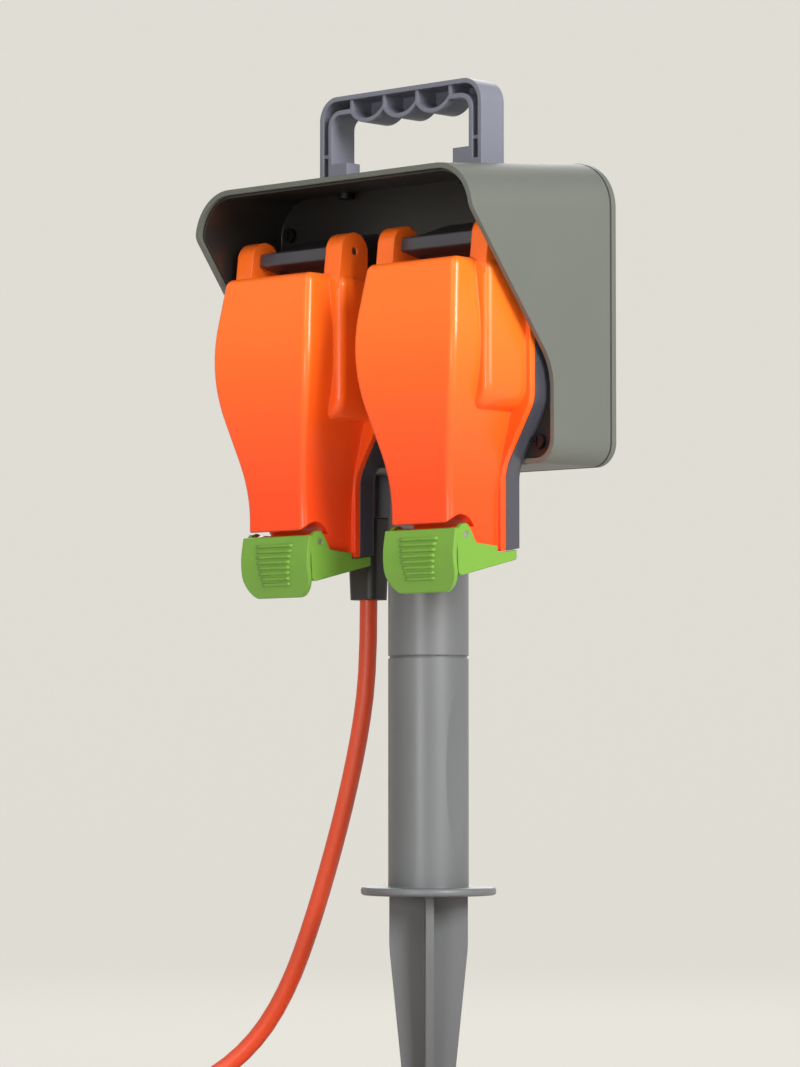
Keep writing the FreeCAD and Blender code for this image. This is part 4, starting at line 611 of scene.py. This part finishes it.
class CoilStraps(bpy.types.Operator):
    """Put the two hook-and-loop straps round the coil"""

    bl_idname = "socket_spike.straps"
    bl_label = "Coil Straps"

    def execute(self, context):
        tones, sizes = settings().colours, settings().sizes
        tape = woven("Hook-and-loop tape", tones.strap)
        side_room = CORD_RADIUS + 0.6
        top_room = CORD_RADIUS + 0.2
        inner, outer = (COIL_INNER - side_room) * MM, (COIL_OUTER + side_room) * MM
        low, top = FLOOR * MM + sizes.strap_thick, (COIL_TOP + top_room) * MM
        corners = [(inner, low), (outer, low), (outer, top), (inner, top)]
        for count, angle in enumerate(TIE_ANGLES):
            mesh = band(corners, sizes.strap_width, sizes.strap_thick, 3 * MM)
            bmesh.ops.translate(mesh, verts=mesh.verts[:], vec=(0, -sizes.strap_width / 2, 0))
            turn = Matrix.Rotation(math.radians(angle), 4, "Z")
            bmesh.ops.transform(mesh, verts=mesh.verts[:],
                                matrix=Matrix.Translation((COIL_X * MM, COIL_Y * MM, 0)) @ turn)
            strap = new_piece("coil_strap_%d" % (count + 1), mesh, tape, "root")
            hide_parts("coil_ties")
        return {"FINISHED"}


class PlugFinish(bpy.types.Operator):
    bl_idname = "socket_spike.plug"
    bl_label = "Plug"

    def execute(self, context):
        tones, sizes = settings().colours, settings().sizes
        # Moulded-on PVC: dense matt black with a slightly grainy skin
        body = moulded("PVC plug, black", tones.relief, 0.45, 0.7 * MM, 0.05 * MM, 0.8 * MM)
        finish_nodes(body, "plug_body", "plug_fuse_carrier")
        # Glazed ceramic fuse: white and glassy
        glaze = moulded("Ceramic, glazed", linear("E9E4D8"), 0.15, 1.0 * MM, 0.005 * MM, 0.3 * MM)
        finish_nodes(glaze, "plug_fuse")
        return {"FINISHED"}


# Stage

# Each lamp's name, place, width and power, in metres and watts
LAMPS = (
    ("key_light", (1.9, -0.35, 0.9), 0.8, 60),
    ("front_light", (0.1, -1.9, 1.7), 1.2, 12),
    ("fill_light", (0.6, -1.7, 0.2), 0.4, 8),
    ("rim_light", (-1.2, 1.5, 1.2), 1.4, 24),
)
LAMP_AIM = Vector((0, 0, 0.18))

# The camera stands low and looks up a little: its frame reaches from 4.2 degrees under the horizon
# to 10.3 above it
CAMERA_AZIMUTH = math.radians(43)
CAMERA_HEIGHT = 58 * MM
FRAME_MIDDLE = math.radians(3.05)
HALF_FRAME = math.radians(7.25)
FRAME_SHIFT = 12 * MM
SENSOR = 36

# The backdrop curves up from the floor with this radius, then stands on upright
SWEEP = 2.0
PAPER_GLOW = 0.9
SKY_STRENGTH = 0.48


def paper_finish(rgb):
    """Matt paper: pale and even, with a glow of its own that only the camera and gloss see."""
    paper, tree, shader = new_material("Paper sweep")
    shader.inputs["Base Color"].default_value = tinted(rgb, 1)
    shader.inputs["Roughness"].default_value = 0.9
    glow = add(tree, "ShaderNodeEmission", {"Color": tinted(rgb, 1), "Strength": 1.0})
    ray = add(tree, "ShaderNodeLightPath")
    seen = add(tree, "ShaderNodeMath", {
        0: ray.outputs["Is Camera Ray"], 1: ray.outputs["Is Glossy Ray"]}, operation="MAXIMUM")
    share = add(tree, "ShaderNodeMath", {0: seen.outputs["Value"], 1: PAPER_GLOW},
                operation="MULTIPLY")
    both = add(tree, "ShaderNodeMixShader", {
        0: share.outputs["Value"], 1: shader.outputs["BSDF"], 2: glow.outputs["Emission"]})
    tree.links.new(both.outputs["Shader"], tree.nodes["Material Output"].inputs["Surface"])
    return paper


def sweep_mesh(reach):
    """A round flat floor whose rim curves up into a backdrop, facing inwards."""
    mesh = bmesh.new()
    bend = [math.radians(15 * k) for k in range(1, 7)]
    spots = [(0, 0), (reach / 2, 0), (reach, 0)]
    spots += [(reach + SWEEP * math.sin(a), SWEEP - SWEEP * math.cos(a)) for a in bend]
    spots.append((reach + SWEEP, 2 * SWEEP))
    verts = [mesh.verts.new((x, 0, z + FLOOR * MM)) for x, z in spots]
    edges = [mesh.edges.new(pair) for pair in zip(verts, verts[1:])]
    bmesh.ops.spin(mesh, geom=verts + edges, axis=(0, 0, 1), cent=(0, 0, 0), dvec=(0, 0, 0),
                   angle=math.tau, steps=96, use_merge=True)
    bmesh.ops.remove_doubles(mesh, verts=mesh.verts[:], dist=0.1 * MM)
    bmesh.ops.recalc_face_normals(mesh, faces=mesh.faces[:])
    bmesh.ops.reverse_faces(mesh, faces=mesh.faces[:])
    return mesh


def aimed(name, data, spot, aim):
    """A lamp or camera at a spot, looking at another."""
    holder = linked(name, data)
    holder.location = spot
    holder.rotation_euler = (aim - Vector(spot)).to_track_quat("-Z", "Y").to_euler()
    return holder


class Stage(bpy.types.Operator):
    """Set the pale floor, the soft lights and the camera"""

    bl_idname = "socket_spike.stage"
    bl_label = "Stage"

    def execute(self, context):
        tones, sizes = settings().colours, settings().sizes
        scene = context.scene
        mesh = sweep_mesh(sizes.stage_reach)
        smooth_object("stage_floor", mesh, paper_finish(tones.floor))

        world = bpy.data.worlds.new("Soft daylight")
        world.use_nodes = True
        sky = world.node_tree.nodes["Background"]
        sky.inputs["Color"].default_value = (1.0, 0.98, 0.95, 1)
        sky.inputs["Strength"].default_value = SKY_STRENGTH
        scene.world = world

        for name, spot, size, power in LAMPS:
            lamp = bpy.data.lights.new(name, "AREA")
            lamp.energy = power
            lamp.size = size
            aimed(name, lamp, spot, LAMP_AIM)

        camera = bpy.data.cameras.new("camera")
        camera.sensor_fit = "VERTICAL"
        camera.sensor_height = SENSOR
        camera.lens = SENSOR / 2 / math.tan(HALF_FRAME)
        away = sizes.camera_away
        sine, cosine = math.sin(CAMERA_AZIMUTH), math.cos(CAMERA_AZIMUTH)
        spot = Vector((sine * away, -cosine * away, CAMERA_HEIGHT))
        aim = Vector((-cosine * FRAME_SHIFT, -sine * FRAME_SHIFT,
                      CAMERA_HEIGHT + away * math.tan(FRAME_MIDDLE)))
        scene.camera = aimed("camera", camera, spot, aim)
        scene.view_settings.view_transform = "Standard"
        return {"FINISHED"}


OPERATORS = (HousingFinish, StemFinish, OutletFinish, LidFinish, SupplyCord, CoilStraps,
             PlugFinish, Stage)


class SpikePanel(bpy.types.Panel):
    """The steps that dress the garden socket spike"""

    bl_idname = "VIEW3D_PT_socket_spike"
    bl_label = "Garden Socket Spike"
    bl_space_type = "VIEW_3D"
    bl_region_type = "UI"
    bl_category = "Socket Spike"

    def draw(self, context):
        for operator in OPERATORS:
            self.layout.operator(operator.bl_idname)


CLASSES = (SpikeColours, SpikeSizes, SpikeSettings) + OPERATORS + (SpikePanel,)


def register():
    for item in CLASSES:
        bpy.utils.register_class(item)
    bpy.types.Scene.socket_spike = PointerProperty(type=SpikeSettings)


def unregister():
    del bpy.types.Scene.socket_spike
    for item in reversed(CLASSES):
        bpy.utils.unregister_class(item)


def main():
    register()
    bpy.ops.socket_spike.housing()
    bpy.ops.socket_spike.stem()
    bpy.ops.socket_spike.outlets()
    bpy.ops.socket_spike.lids()
    bpy.ops.socket_spike.cord()
    bpy.ops.socket_spike.straps()
    bpy.ops.socket_spike.plug()
    bpy.ops.socket_spike.stage()


if __name__ == "__main__":
    main()
